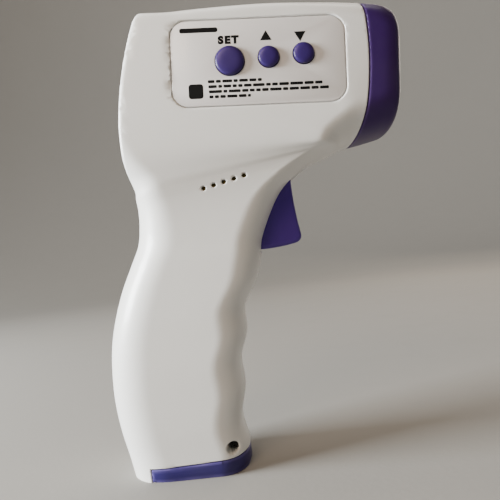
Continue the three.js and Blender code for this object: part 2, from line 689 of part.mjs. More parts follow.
const display = new THREE.Group();
display.applyMatrix4(DISPLAY);
thermometer.add(display);
const lcdWidth = WINDOW_WIDTH + 2 * LCD_MARGIN;
const lcdHeight = WINDOW_HEIGHT + 2 * LCD_MARGIN;
const bezelBack = DISPLAY_RADIUS - DISPLAY_RECESS - BEZEL_THICKNESS;
const lcdX = displayCentre - Math.sqrt(bezelBack ** 2 - (lcdHeight / 2) ** 2) + CLEARANCE;
const backlightX = lcdX + LCD_THICKNESS + CLEARANCE;
const lcdBoardX = backlightX + BACKLIGHT_THICKNESS + CLEARANCE;
const LCD_STACK = [
  { name: "lcd_glass", x: lcdX, thick: LCD_THICKNESS, margin: 0, material: FINISHES.lcd },
  { name: "lcd_backlight", x: backlightX, thick: BACKLIGHT_THICKNESS, margin: 0, material: FINISHES.light },
  {
    name: "lcd_board",
    x: lcdBoardX,
    thick: BOARD_THICKNESS,
    margin: LCD_BOARD_MARGIN,
    material: FINISHES.board,
  },
];
for (const { name, x, thick, margin, material } of LCD_STACK) {
  const slab = new THREE.BoxGeometry(thick, lcdWidth + margin, lcdHeight + margin);
  piece(display, name, slab, material, x + thick / 2);
}

// The display's ribbon: a thin strip that leaves the display board and lies down on the main board.
function lcdRibbon() {
  const half = 0.15;
  const boardBack = BOARD_Y + BOARD_THICKNESS;
  const start = lcdBoardX + BOARD_THICKNESS + CLEARANCE;
  const route = new THREE.SplineCurve([
    new THREE.Vector2(start, -2),
    new THREE.Vector2(start + 5, -2.2),
    new THREE.Vector2(start + 13, boardBack + 1),
    new THREE.Vector2(start + 20, boardBack + CLEARANCE + half),
  ]);
  const points = route.getPoints(14);
  const shape = new THREE.Shape();
  points.forEach((p, i) => (i ? shape.lineTo(p.x, p.y + half) : shape.moveTo(p.x, p.y + half)));
  points.reverse().forEach((p) => shape.lineTo(p.x, p.y - half));
  return new THREE.ExtrudeGeometry(shape, { depth: RIBBON_WIDTH, bevelEnabled: false });
}
piece(display, "lcd_ribbon", lcdRibbon(), FINISHES.ribbon, 0, 0, RIBBON_LOW);

// ---------------------------------------------------------------- labels
function label(side) {
  const seat = side * (HEAD_HALF_WIDTH - LABEL_RECESS + CLEARANCE);
  const face = seat + side * LABEL_THICKNESS;
  const outline = roundedRectangle(LABEL_LENGTH, LABEL_HEIGHT, LABEL_CORNER);
  const film = plateXZ(outline, Math.min(seat, face), Math.max(seat, face), 6);
  return solid(film, LABEL_TURN);
}
let rightLabel = label(-1);
for (const { x, radius } of KEYS) {
  rightLabel = rightLabel.subtract(barY(radius + CLEARANCE, -FAR / 8, 0, x, KEY_Z, 28));
}
piece(thermometer, "right_label", rightLabel, FINISHES.label);
piece(thermometer, "left_label", label(1), FINISHES.label);

// ---------------------------------------------------------------- keys and main board
const flangeFront = -(HEAD_HALF_WIDTH - WALL) + 0.4;
const flangeBack = flangeFront + KEY_FLANGE_THICKNESS;
const switchTop = BOARD_Y - CLEARANCE - SWITCH_HEIGHT;
const plungerTop = switchTop - SWITCH_PLUNGER_LENGTH;
const stemEnd = plungerTop - CLEARANCE - KEY_TRAVEL;
for (const { name, x, radius } of KEYS) {
  const face = -HEAD_HALF_WIDTH - KEY_PROUD;
  const profile = [
    [face, 0],
    [face + 0.1, radius - 1.4],
    [face + 0.5, radius - 0.4],
    [face + 1.2, radius],
    [flangeFront, radius],
    [flangeFront, radius + KEY_FLANGE],
    [flangeBack, radius + KEY_FLANGE],
    [flangeBack, KEY_STEM_RADIUS],
    [stemEnd, KEY_STEM_RADIUS],
    [stemEnd, 0],
  ];
  piece(thermometer, name + "_button", turnedY(profile, 24), FINISHES.key, x, 0, KEY_Z);

  const body = box(SWITCH_SIZE, SWITCH_HEIGHT, SWITCH_SIZE, 0, switchTop + SWITCH_HEIGHT / 2, 0);
  const plunger = barY(SWITCH_PLUNGER_RADIUS, plungerTop, switchTop + 1, 0, 0, 16);
  piece(thermometer, name + "_switch", body.add(plunger), FINISHES.chip, x, 0, KEY_Z);
}

const boardBack = BOARD_Y + BOARD_THICKNESS;
function mainBoard() {
  const outline = roundedRectangle(BOARD_LENGTH, BOARD_HEIGHT, 2);
  const plate = plateXZ(outline, BOARD_Y, boardBack, 3);
  plate.translate(BOARD_REAR_X + BOARD_LENGTH / 2, 0, BOARD_LOW + BOARD_HEIGHT / 2);
  let board = solid(plate);
  for (const { x, z } of BOARD_SCREWS) {
    board = board.subtract(barY(SCREW_SHANK_RADIUS + CLEARANCE, BOARD_Y - 1, boardBack + 1, x, z, 16));
  }
  for (const { x, z } of SCREWS) {
    board = board.subtract(barY(BOSS_RADIUS + 2 * CLEARANCE, BOARD_Y - 1, boardBack + 1, x, z));
  }
  return board;
}
piece(thermometer, "main_board", mainBoard(), FINISHES.board);
const PARTS_ON_BOARD = [
  { name: "microcontroller", size: [10, 1.4, 10], x: 32, z: BOARD_LOW + 25, material: FINISHES.chip },
  { name: "memory_chip", size: [5, 1.2, 4], x: 42, z: BOARD_LOW + 29, material: FINISHES.chip },
  { name: "crystal", size: [8, 2.5, 3.5], x: 32, z: BOARD_LOW + 34.5, material: FINISHES.steel },
];
for (const { name, size, x, z, material } of PARTS_ON_BOARD) {
  const y = boardBack + CLEARANCE + size[1] / 2;
  piece(thermometer, name, new THREE.BoxGeometry(...size), material, x, y, z);
}
piece(
  thermometer,
  "capacitor",
  barY(2.5, boardBack + CLEARANCE, boardBack + CLEARANCE + 5.5, 0, 0),
  FINISHES.black,
  BOARD_REAR_X + 28,
  0,
  BOARD_LOW + 8,
);

// ---------------------------------------------------------------- buzzer
const buzzerBack = BUZZER_Y + BUZZER_THICKNESS;
const buzzer = new THREE.Group();
buzzer.position.set(BUZZER_X, 0, NECK + BUZZER_ABOVE_NECK);
thermometer.add(buzzer);
piece(buzzer, "buzzer_disc", barY(BUZZER_RADIUS, BUZZER_Y, buzzerBack, 0, 0, 32), FINISHES.brass);
piece(
  buzzer,
  "buzzer_ceramic",
  barY(5.6, buzzerBack + CLEARANCE, buzzerBack + CLEARANCE + 0.3, 0, 0),
  FINISHES.ceramic,
);

// ---------------------------------------------------------------- trigger
function triggerBody() {
  const shape = new THREE.Shape();
  shape.moveTo(43.8, PIVOT_Z + 0.6);
  shape.quadraticCurveTo(43.8, PIVOT_Z - 9, 45.5, PIVOT_Z - 18.8);
  shape.quadraticCurveTo(45.7, PIVOT_Z - 21.3, 42.9, PIVOT_Z - 21.8);
  shape.quadraticCurveTo(37.7, PIVOT_Z - 22.8, 31.4, PIVOT_Z - 22.8);
  shape.lineTo(TRIGGER_BACK_X, PIVOT_Z - 21);
  shape.lineTo(TRIGGER_BACK_X, PIVOT_Z - 6);
  shape.lineTo(TRIGGER_PIVOT_X - 3.6, PIVOT_Z);
  shape.absarc(TRIGGER_PIVOT_X, PIVOT_Z, 3.6, Math.PI, Math.PI / 3, true);
  const body = new THREE.ExtrudeGeometry(shape, {
    depth: 2 * (TRIGGER_HALF_WIDTH - TRIGGER_EDGE),
    bevelThickness: TRIGGER_EDGE,
    bevelSize: TRIGGER_EDGE,
    bevelOffset: -TRIGGER_EDGE,
    bevelSegments: 3,
    curveSegments: 6,
  });
  body.rotateX(Math.PI / 2).translate(0, TRIGGER_HALF_WIDTH - TRIGGER_EDGE, 0);
  const bore = barY(TRIGGER_PIN_RADIUS + CLEARANCE, -FAR / 8, FAR / 8, TRIGGER_PIVOT_X, PIVOT_Z);
  return solid(body).subtract(bore);
}
piece(thermometer, "trigger", triggerBody(), FINISHES.trigger);
piece(
  thermometer,
  "trigger_pin",
  new THREE.CylinderGeometry(TRIGGER_PIN_RADIUS, TRIGGER_PIN_RADIUS, 2 * pinReach, 20),
  FINISHES.steel,
  TRIGGER_PIVOT_X,
  0,
  PIVOT_Z,
);
const switchBelowPivot = 13;
const springBelowPivot = 18.6;
const plungerTipX = TRIGGER_BACK_X - CLEARANCE - switchBelowPivot * Math.sin(TRIGGER_TRAVEL) - 0.1;
const triggerSwitchX = plungerTipX - SWITCH_PLUNGER_LENGTH - SWITCH_HEIGHT;
const triggerBoardX = triggerSwitchX - CLEARANCE - BOARD_THICKNESS;
piece(
  thermometer,
  "trigger_board",
  new THREE.BoxGeometry(BOARD_THICKNESS, 11, 15),
  FINISHES.board,
  triggerBoardX + BOARD_THICKNESS / 2,
  0,
  PIVOT_Z - 15,
);
const triggerSwitch = box(SWITCH_HEIGHT, SWITCH_SIZE, SWITCH_SIZE, SWITCH_HEIGHT / 2, 0, 0);
const triggerPlunger = solid(
  turnedX([[SWITCH_HEIGHT - 1, 0], [SWITCH_HEIGHT - 1, SWITCH_PLUNGER_RADIUS],
    [SWITCH_HEIGHT + SWITCH_PLUNGER_LENGTH, SWITCH_PLUNGER_RADIUS],
    [SWITCH_HEIGHT + SWITCH_PLUNGER_LENGTH, 0]], 16),
);
piece(
  thermometer,
  "trigger_switch",
  triggerSwitch.add(triggerPlunger),
  FINISHES.chip,
  triggerSwitchX,
  0,
  PIVOT_Z - switchBelowPivot,
);
const springStart = triggerBoardX + BOARD_THICKNESS + CLEARANCE + SPRING_WIRE_RADIUS;
const springEnd = TRIGGER_BACK_X - CLEARANCE - SPRING_WIRE_RADIUS;
piece(
  thermometer,
  "trigger_spring",
  tube(new Helix(TRIGGER_SPRING_RADIUS, springEnd - springStart, 4), SPRING_WIRE_RADIUS, 48, 4),
  FINISHES.steel,
  springStart,
  0,
  PIVOT_Z - springBelowPivot,
);

// ---------------------------------------------------------------- cells and contacts
const CELLS = [
  { name: "battery_rear", x: CELLS_X - CELL_PITCH / 2, nubUp: false },
  { name: "battery_front", x: CELLS_X + CELL_PITCH / 2, nubUp: true },
];
const cellTop = CELL_BOTTOM + CELL_LENGTH;
for (const { name, x, nubUp } of CELLS) {
  const canLength = CELL_LENGTH - CELL_NUB_LENGTH;
  const points = [
    [0, 0],
    [CELL_RADIUS - 0.5, 0],
    [CELL_RADIUS, 0.5],
    [CELL_RADIUS, canLength - 0.5],
    [CELL_RADIUS - 0.5, canLength],
    [CELL_NUB_RADIUS, canLength],
    [CELL_NUB_RADIUS, CELL_LENGTH],
    [0, CELL_LENGTH],
  ].map(([radius, z]) => new THREE.Vector2(radius, z));
  const cell = new THREE.LatheGeometry(points, 28).rotateX(Math.PI / 2);
  if (!nubUp) cell.rotateX(Math.PI).translate(0, 0, CELL_LENGTH);
  piece(thermometer, name, cell, FINISHES.cell, x, 0, CELL_BOTTOM);
}

const boreRadius = CELL_RADIUS + CLEARANCE;
const boxLength = CELL_PITCH + 2 * boreRadius + 2 * CELL_BOX_WALL;
const boxWidth = 2 * boreRadius + 2 * CELL_BOX_WALL;
const roofZ = CELL_BOX_TOP - 1.4;
function batteryBox() {
  const height = CELL_BOX_TOP - CELL_BOX_BOTTOM;
  let holder = box(boxLength, boxWidth, height, CELLS_X, 0, CELL_BOX_BOTTOM + height / 2);
  for (const { x } of CELLS) {
    const bore = new THREE.CylinderGeometry(boreRadius, boreRadius, roofZ + 20, 32).rotateX(Math.PI / 2);
    holder = holder.subtract(solid(bore, place(x, 0, (roofZ - 20) / 2)));
    holder = holder.subtract(box(2.6, 1, 6, x, 0, CELL_BOX_TOP));
  }
  return holder;
}
piece(thermometer, "battery_box", batteryBox(), FINISHES.inner);

const tabTop = CELL_BOX_TOP + 2;
function contact(plateZ, size) {
  const plate = box(size, size, CONTACT_THICKNESS, 0, 0, plateZ + CONTACT_THICKNESS / 2);
  const tab = box(2, CONTACT_THICKNESS, tabTop - plateZ, 0, 0, (tabTop + plateZ) / 2);
  return plate.add(tab);
}
const plusZ = cellTop + CLEARANCE;
const minusZ = roofZ - CLEARANCE - CONTACT_THICKNESS;
piece(thermometer, "positive_contact", contact(plusZ, 6.4), FINISHES.steel, CELLS[1].x);
function negativeContact() {
  const from = cellTop + CLEARANCE + SPRING_WIRE_RADIUS;
  const coil = tube(new Helix(2.6, minusZ + 0.1 - from, 2.25), SPRING_WIRE_RADIUS, 32, 4);
  coil.rotateY(-Math.PI / 2).translate(0, 0, from);
  return contact(minusZ, 7).add(solid(coil));
}
piece(thermometer, "negative_contact", negativeContact(), FINISHES.steel, CELLS[0].x);

function batteryCover() {
  const block = outer.intersect(coverRoom(PARTING_GAP)).intersect(aboveGround);
  return block.subtract(inside);
}
piece(thermometer, "battery_cover", batteryCover(), FINISHES.cover);
const bridgeLength = CELL_PITCH + 2 * CELL_RADIUS - 2;
piece(
  thermometer,
  "bridge_contact",
  new THREE.BoxGeometry(bridgeLength, 8, CONTACT_THICKNESS),
  FINISHES.steel,
  CELLS_X,
  0,
  (COVER_FLOOR + CELL_BOTTOM) / 2,
);

// ---------------------------------------------------------------- screws
// A cross-head screw lying along Y, its head at y = 0 and its shank towards +Y.
function screw(length) {
  const profile = [
    [-SCREW_HEAD_LENGTH, 0],
    [-SCREW_HEAD_LENGTH, SCREW_HEAD_RADIUS - 0.4],
    [-SCREW_HEAD_LENGTH + 0.5, SCREW_HEAD_RADIUS],
    [0, SCREW_HEAD_RADIUS],
    [0, SCREW_SHANK_RADIUS],
    [length - 1, SCREW_SHANK_RADIUS],
    [length, 0],
  ];
  const slot = box(2.2, 1.6, 0.5, 0, -SCREW_HEAD_LENGTH, 0);
  const cross = slot.add(box(0.5, 1.6, 2.2, 0, -SCREW_HEAD_LENGTH, 0));
  return solid(turnedY(profile, 12)).subtract(cross);
}
for (const { name, x, z, seat } of SCREWS) {
  piece(thermometer, name, screw(SCREW_LENGTH), FINISHES.steel, x, seat - CLEARANCE, z);
}
for (const { name, x, z } of BOARD_SCREWS) {
  const mesh = piece(thermometer, name, screw(BOARD_SCREW_LENGTH), FINISHES.steel, x, boardBack + CLEARANCE, z);
  mesh.rotation.x = Math.PI;
}

// ---------------------------------------------------------------- leads
const tabZ = tabTop + CLEARANCE;
const overBoard = boardBack + CLEARANCE + LEAD_RADIUS;
const underBoard = BOARD_Y - CLEARANCE - LEAD_RADIUS;
const LEADS = [
  {
    name: "battery_lead_black",
    material: FINISHES.black,
    points: [
      [CELLS[0].x, 0, tabZ],
      [-5, -2, tabZ + 9],
      [4, -5, NECK - 10],
      [17, -6, NECK + 8],
      [22, overBoard, BOARD_LOW + 4],
    ],
  },
  {
    name: "battery_lead_red",
    material: FINISHES.red,
    points: [
      [CELLS[1].x, 0, tabZ],
      [7, 2, tabZ + 9],
      [13, 1, NECK - 8],
      [22, -4, NECK + 7],
      [27, overBoard, BOARD_LOW + 4],
    ],
  },
  {
    name: "trigger_lead",
    material: FINISHES.black,
    points: [
      [triggerBoardX + 0.6, 0, PIVOT_Z - 15 + 7.5 + CLEARANCE],
      [triggerBoardX + 1.6, -2, NECK + 3],
      [29.5, -6, NECK + 9.5],
      [32, overBoard, BOARD_LOW + 4],
    ],
  },
  {
    name: "sensor_lead",
    material: FINISHES.red,
    points: [
      inNose(sleeveBack - BOARD_THICKNESS - 3 * CLEARANCE, 2).toSpliced(1, 0, 0),
      inNose(sleeveBack - BOARD_THICKNESS - 3, 1).toSpliced(1, 0, -1),
      [41.5, -5, NECK + 27],
      [38, overBoard, NECK + 21],
    ],
  },
  {
    name: "buzzer_lead",
    material: FINISHES.red,
    points: [
      [BUZZER_X, buzzerBack + 2 * CLEARANCE + 0.3 + LEAD_RADIUS, NECK + 4],
      [BUZZER_X + 0.5, -11, NECK + 9],
      [BUZZER_X + 2, underBoard, BOARD_LOW + 3],
    ],
  },
];
for (const { name, material, points } of LEADS) {
  piece(thermometer, name, lead(points), material);
}

export default thermometer;
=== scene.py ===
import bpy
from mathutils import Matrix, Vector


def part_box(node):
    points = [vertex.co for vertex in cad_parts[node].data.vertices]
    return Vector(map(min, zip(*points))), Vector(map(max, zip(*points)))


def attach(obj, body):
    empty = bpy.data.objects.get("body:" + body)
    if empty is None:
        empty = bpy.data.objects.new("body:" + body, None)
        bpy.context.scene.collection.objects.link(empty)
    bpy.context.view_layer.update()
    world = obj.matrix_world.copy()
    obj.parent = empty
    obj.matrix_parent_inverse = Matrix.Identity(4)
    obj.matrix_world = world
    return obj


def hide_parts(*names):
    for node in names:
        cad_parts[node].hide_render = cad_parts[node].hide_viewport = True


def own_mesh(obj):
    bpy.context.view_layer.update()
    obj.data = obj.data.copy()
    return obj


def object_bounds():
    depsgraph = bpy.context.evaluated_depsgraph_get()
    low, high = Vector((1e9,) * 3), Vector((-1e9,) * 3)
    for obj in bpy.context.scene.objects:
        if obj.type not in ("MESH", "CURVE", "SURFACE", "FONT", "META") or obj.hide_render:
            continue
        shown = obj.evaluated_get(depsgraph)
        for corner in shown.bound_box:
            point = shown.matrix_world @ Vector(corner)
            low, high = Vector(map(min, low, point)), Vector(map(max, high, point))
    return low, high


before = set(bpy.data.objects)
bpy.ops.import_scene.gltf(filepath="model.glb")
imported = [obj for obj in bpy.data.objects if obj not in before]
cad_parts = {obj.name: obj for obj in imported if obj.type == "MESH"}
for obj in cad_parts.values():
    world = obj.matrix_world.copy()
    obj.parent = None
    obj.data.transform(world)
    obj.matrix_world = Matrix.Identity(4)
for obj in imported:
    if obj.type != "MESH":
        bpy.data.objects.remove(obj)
CAD_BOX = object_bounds()

"""A handheld infrared thermometer: its visible pieces are remodelled over the loaded frame, and every
carried-over node gets a procedural finish. Sizes in the classes are in millimetres; meshes are in metres."""

import logging
import math
import random
from dataclasses import dataclass, field
from enum import Enum
from typing import Callable, Optional, Sequence

import bmesh
import bpy
import numpy as np
from mathutils import Matrix, Vector, kdtree
from mathutils.bvhtree import BVHTree

MM = 0.001
FAR = 0.4  # metres, the size of the blocks that cut the housing
REACH = 0.05  # metres, past the flanks in Y
LEVEL = 1e-9  # metres, points closer than this in one direction are level
BESIDE = 50.0  # millimetres, added to a distance where a cut does not reach
HOUSING = "housing"
log = logging.getLogger("thermometer")
Points = np.ndarray
Distance = Callable[[Points], Points]


class Carve(Enum):
    """What a tool does to the stock it meets."""

    CUT = "DIFFERENCE"
    KEEP = "INTERSECT"
    JOIN = "UNION"


class Side(Enum):
    """The two halves of the housing, by the sign of their Y."""

    RIGHT = -1
    LEFT = 1


# ------------------------------------------------------------------ mesh helpers
def centre(node: str) -> Vector:
    """The middle of a CAD node at rest, in metres."""
    low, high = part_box(node)
    return (Vector(low) + Vector(high)) / 2


def axis_turn(target: str) -> Matrix:
    """The turn that lays a shape built along Z onto another axis.

    Args:
        target: "X", "Y" or "Z".

    Returns:
        A 4x4 rotation.
    """
    if target == "X":
        return Matrix.Rotation(math.pi / 2, 4, "Y")
    if target == "Y":
        return Matrix.Rotation(-math.pi / 2, 4, "X")
    return Matrix.Identity(4)


class Stock:
    """A closed mesh on the bench, which tools cut, keep or join."""

    def __init__(self, name: str, bm: bmesh.types.BMesh) -> None:
        """Makes the object from a bmesh, which is freed.

        Args:
            name: the object's name.
            bm: the shape, in metres, at its place in the row frame.
        """
        mesh = bpy.data.meshes.new(name)
        bm.to_mesh(mesh)
        bm.free()
        self.obj = bpy.data.objects.new(name, mesh)
        bpy.context.scene.collection.objects.link(self.obj)

    def apply(self) -> "Stock":
        """Bakes the modifiers into the mesh."""
        ready = self.obj.evaluated_get(bpy.context.evaluated_depsgraph_get())
        mesh = bpy.data.meshes.new_from_object(ready)
        self.obj.modifiers.clear()
        self.obj.data = mesh
        return self

    def carve(self, tool: "Stock", mode: Carve, keep_tool: bool = False) -> "Stock":
        """Cuts, keeps or joins with a tool.

        Args:
            tool: the other closed mesh.
            mode: what it does.
            keep_tool: whether the tool is used again.

        Returns:
            The stock itself.
        """
        step = self.obj.modifiers.new("carve", "BOOLEAN")
        step.operation = mode.value
        step.solver = "MANIFOLD"
        step.object = tool.obj
        self.apply()
        if not keep_tool:
            tool.discard()
        return self

    def copy(self, name: str) -> "Stock":
        """A second stock of the same shape."""
        bm = bmesh.new()
        bm.from_mesh(self.obj.data)
        return Stock(name, bm)

    def discard(self) -> None:
        """Removes the object from the scene."""
        bpy.data.objects.remove(self.obj)

    def finished(self, name: str, crease_angle: float = 34.0) -> bpy.types.Object:
        """Names the piece, smooths its faces and keeps its hard edges.

        Args:
            name: the piece's name.
            crease_angle: edges that turn further than this stay hard, in degrees.

        Returns:
            The finished object.
        """
        mesh = self.obj.data
        mesh.materials.clear()
        mesh.shade_smooth()
        mesh.set_sharp_from_angle(angle=math.radians(crease_angle))
        self.obj.name = name
        mesh.name = name
        return self.obj


def at(x: float, z: float) -> Matrix:
    """A frame at a place in the middle plane, in millimetres."""
    return Matrix.Translation((x * MM, 0, z * MM))


def rounded(
    bm: bmesh.types.BMesh, geom: Sequence, offset: float, segments: int, affect: str = "EDGES"
) -> None:
    """Rounds edges or corners.

    Args:
        bm: the shape.
        geom: its edges, or its vertices.
        offset: size of the rounding in metres.
        segments: steps of the rounding.
        affect: "EDGES" or "VERTICES".
    """
    bmesh.ops.bevel(
        bm, geom=geom, offset=offset, offset_type="OFFSET", segments=segments, profile=0.5, affect=affect,
        material=-1,
    )


def upright_edges(edges: Sequence[bmesh.types.BMEdge]) -> list[bmesh.types.BMEdge]:
    """The edges that run along Z."""
    return [e for e in edges if abs(e.verts[0].co.z - e.verts[1].co.z) > LEVEL]


def block(low: Sequence[float], high: Sequence[float], turn: Optional[Matrix] = None) -> Stock:
    """A plain cutting block.

    Args:
        low: lowest corner in metres.
        high: highest corner in metres.
        turn: an optional frame that the corners are given in.

    Returns:
        The block.
    """
    bm = bmesh.new()
    bmesh.ops.create_cube(bm, size=1.0)
    size = Vector(high) - Vector(low)
    bmesh.ops.scale(bm, vec=size, verts=bm.verts)
    bmesh.ops.translate(bm, vec=Vector(low) + size / 2, verts=bm.verts)
    if turn is not None:
        bmesh.ops.transform(bm, matrix=turn, verts=bm.verts)
    return Stock("block", bm)


def bar(radius: float, start: float, end: float, place: Matrix, axis: str = "Y", sides: int = 64) -> Stock:
    """A round bar along one axis of a frame.

    Args:
        radius: in metres.
        start: where it begins along the axis, in metres.
        end: where it ends.
        place: the frame it lies in.
        axis: which axis it follows.
        sides: number of sides.

    Returns:
        The bar.
    """
    bm = bmesh.new()
    bmesh.ops.create_cone(
        bm, cap_ends=True, segments=sides, radius1=radius, radius2=radius, depth=abs(end - start)
    )
    bmesh.ops.translate(bm, vec=(0, 0, (start + end) / 2), verts=bm.verts)
    bmesh.ops.transform(bm, matrix=place @ axis_turn(axis), verts=bm.verts)
    return Stock("bar", bm)


def tablet(
    width: float, height: float, corner: float, low: float, high: float, place: Matrix, edge: float = 0.0
) -> Stock:
    """A plate with rounded corners whose outline is drawn in X and Y of its frame.

    Args:
        width: size along the frame's X.
        height: size along the frame's Y.
        corner: corner radius.
        low: lower face along the frame's Z.
        high: upper face along the frame's Z.
        place: the frame.
        edge: rounding of the upper edge.

    Returns:
        The plate, in metres as all its sizes.
    """
    bm = bmesh.new()
    bmesh.ops.create_cube(bm, size=1.0)
    bmesh.ops.scale(bm, vec=(width, height, high - low), verts=bm.verts)
    bmesh.ops.translate(bm, vec=(0, 0, (low + high) / 2), verts=bm.verts)
    rounded(bm, upright_edges(bm.edges), corner, 10)
    if edge:
        rounded(bm, [e for e in bm.edges if all(abs(v.co.z - high) < LEVEL for v in e.verts)], edge, 3)
    bmesh.ops.transform(bm, matrix=place, verts=bm.verts)
    bmesh.ops.recalc_face_normals(bm, faces=bm.faces)
    return Stock("tablet", bm)


def turned(profile: Sequence[tuple[float, float]], place: Matrix, axis: str, sides: int = 96) -> Stock:
    """A turned piece: a profile spun round one axis of a frame.

    Args:
        profile: (distance along the axis, radius) points in metres.
        place: the frame.
        axis: the axis of the spin.
        sides: steps of the spin.

    Returns:
        The closed piece.
    """
    bm = bmesh.new()
    verts = [bm.verts.new((radius, 0, along)) for along, radius in profile]
    edges = [bm.edges.new(pair) for pair in zip(verts, verts[1:])]
    bmesh.ops.spin(
        bm, geom=verts + edges, cent=(0, 0, 0), axis=(0, 0, 1), angle=2 * math.pi, steps=sides, use_merge=True
    )
    bmesh.ops.remove_doubles(bm, verts=bm.verts, dist=1e-7)
    bmesh.ops.transform(bm, matrix=place @ axis_turn(axis), verts=bm.verts)
    bmesh.ops.recalc_face_normals(bm, faces=bm.faces)
    return Stock("turned", bm)


def spline(values: Points, t: Points) -> Points:
    """A curve through evenly spaced values.

    Args:
        values: (count, n) values.
        t: places along the curve, 0 to 1.

    Returns:
        (len(t), n) values on the curve.
    """
    last = len(values) - 1
    where = np.clip(t, 0.0, 1.0) * last
    i = np.minimum(where.astype(int), last - 1)
    w = (where - i)[:, None]
    p0, p1 = values[np.maximum(i - 1, 0)], values[i]
    p2, p3 = values[i + 1], values[np.minimum(i + 2, last)]
    v0, v1 = (p2 - p0) / 2, (p3 - p1) / 2
    return (2 * p1 - 2 * p2 + v0 + v1) * w**3 + (3 * p2 - 3 * p1 - 2 * v0 - v1) * w**2 + v0 * w + p1


# ------------------------------------------------------------------ the body's surface
@dataclass
class BodyForm:
    """The outer surface of handle, head and nose, as sections from the base to the nose."""

    neck: float = 92.0
    head_height: float = 61.0
    head_length: float = 74.6
    head_half: float = 21.0
    handle_half: float = 16.6
    base_half: float = 14.2
    droop: float = 9.0
    seam_height: float = 45.3
    seam_drop: float = 2.2
    seam_radius: float = 102.0
    seam_apex_below: float = 8.0
    ring_length: float = 11.0
    bulge: float = 2.3
    corner_share: float = 0.3  # of the faces round a section, taken by each rounding
    display_radius: float = 115.0
    display_cut: float = 4.0
    nose: Matrix = field(init=False)
    display: Matrix = field(init=False)
    rails: Points = field(init=False)

    def __post_init__(self) -> None:
        """Works out the frames of the nose and the display, and the rails of the sections."""
        top = self.neck + self.head_height
        droop = math.radians(self.droop)
        half = self.seam_height / 2
        x = self.head_length - half * math.sin(droop)
        z = top - self.seam_drop - half * math.cos(droop)
        self.nose = Matrix.Translation((x * MM, 0, z * MM)) @ Matrix.Rotation(droop, 4, "Y")
        low, high = Vector((-10.4, self.neck + 10)), Vector((-0.5, top - 0.8))
        middle, chord = (low + high) / 2, (high - low).length
        tilt = math.atan2(high.x - low.x, high.y - low.y)
        self.display_centre = math.sqrt(self.display_radius**2 - (chord / 2) ** 2)
        self.display = Matrix.Translation((middle.x * MM, 0, middle.y * MM)) @ Matrix.Rotation(tilt, 4, "Y")
        self.rails = np.array(self.handle_stations() + self.head_stations(top) + self.nose_stations())

    @property
    def top(self) -> float:
        """Height of the head's top."""
        return self.neck + self.head_height

    @property
    def inner_end(self) -> float:
        """Where the hollow ends, as a share of the rails."""
        return (len(self.rails) - 3) / (len(self.rails) - 1)

    def in_nose(self, x: float, z: float) -> tuple[float, float]:
        """A point given in the nose's frame, as X and Z of the body."""
        point = self.nose @ Vector((x * MM, 0, z * MM))
        return point.x / MM, point.z / MM

    def handle_stations(self) -> list[tuple[float, ...]]:
        """Level sections of the handle: back X, Z, front X, Z, half width and the two roundings."""
        drawn = (
            (-0.1, -18.9, 20.2, 0.0),
            (0.063, -21.7, 20.4, 0.05),
            (0.174, -23.8, 18.8, 0.3),
            (0.283, -24.9, 20.9, 0.5),
            (0.391, -24.8, 20.5, 0.7),
            (0.489, -23.9, 23.4, 0.8),
            (0.587, -21.7, 23.7, 0.9),
            (0.685, -18.5, 28.7, 0.95),
            (0.772, -14.7, 31.2, 1.0),
            (0.848, -11.4, 32.9, 1.0),
        )
        gain = self.handle_half - self.base_half
        return [
            (back, up * self.neck, front, up * self.neck, self.base_half + share * gain, 15.0, 10.5)
            for up, back, front, share in drawn
        ]

    def crease(self, share: float) -> float:
        """A half width between the handle's and the head's."""
        return self.handle_half + share * (self.head_half - self.handle_half)

    def head_stations(self, top: float) -> list[tuple[float, ...]]:
        """Sections that fan from the neck round the underside of the nose."""
        n, length = self.neck, self.head_length
        seam_low = self.in_nose(0, -self.seam_height / 2)
        drawn = (
            (-10.2, n - 8, 39.6, n - 1.1, 0.1, 14, 11),
            (-9.9, n - 3, 48.0, n + 6.6, 0.24, 13, 10),
            (-10.1, n + 1, 0.748 * length, n + 11, 0.42, 12, 9),
            (-11.2, n + 6, 0.8 * length, n + 12.1, 0.64, 12, 9),
            (-20.0, n + 17, 0.81 * length, n + 12.3, 0.93, 14, 9),
            (-24.0, n + 40, 0.82 * length, n + 12.6, 1, 12, 9),
            (-14.0, top - 1, 0.83 * length, n + 12.8, 1, 11, 9),
            (8.0, top + 0.5, 0.842 * length, n + 13.1, 1, 9.4, 9),
            (0.48 * length, top + 0.3, 0.855 * length, n + 13.4, 1, 7.4, 9),
            (0.76 * length, top - 0.8, 0.876 * length, n + 13.9, 1, 8, 10),
            (length, top - self.seam_drop, *seam_low, 0.9, 10, 11),
        )
        return [(bx, bz, fx, fz, self.crease(share), rb, rf) for bx, bz, fx, fz, share, rb, rf in drawn]

    def nose_stations(self) -> list[tuple[float, ...]]:
        """Sections of the ring, drawn in towards its face."""
        length, half = self.ring_length, self.seam_height / 2
        drawn = (
            (0.54 * length, -0.5, 0.63 * length, 2.3, 0.6),
            (length - 2.9, -2.3, length - 0.2, 4.2, 2.2),
            (length - 1.1, -5.7, length + 1.1, 8.1, 5.7),
        )
        rows = []
        for back_x, back_drop, front_x, front_rise, inset in drawn:
            back = self.in_nose(back_x, half + back_drop)
            front = self.in_nose(front_x, front_rise - half)
            rows.append((*back, *front, self.crease(0.9) - inset, 12 - inset / 2, 12 - inset / 2))
        return rows

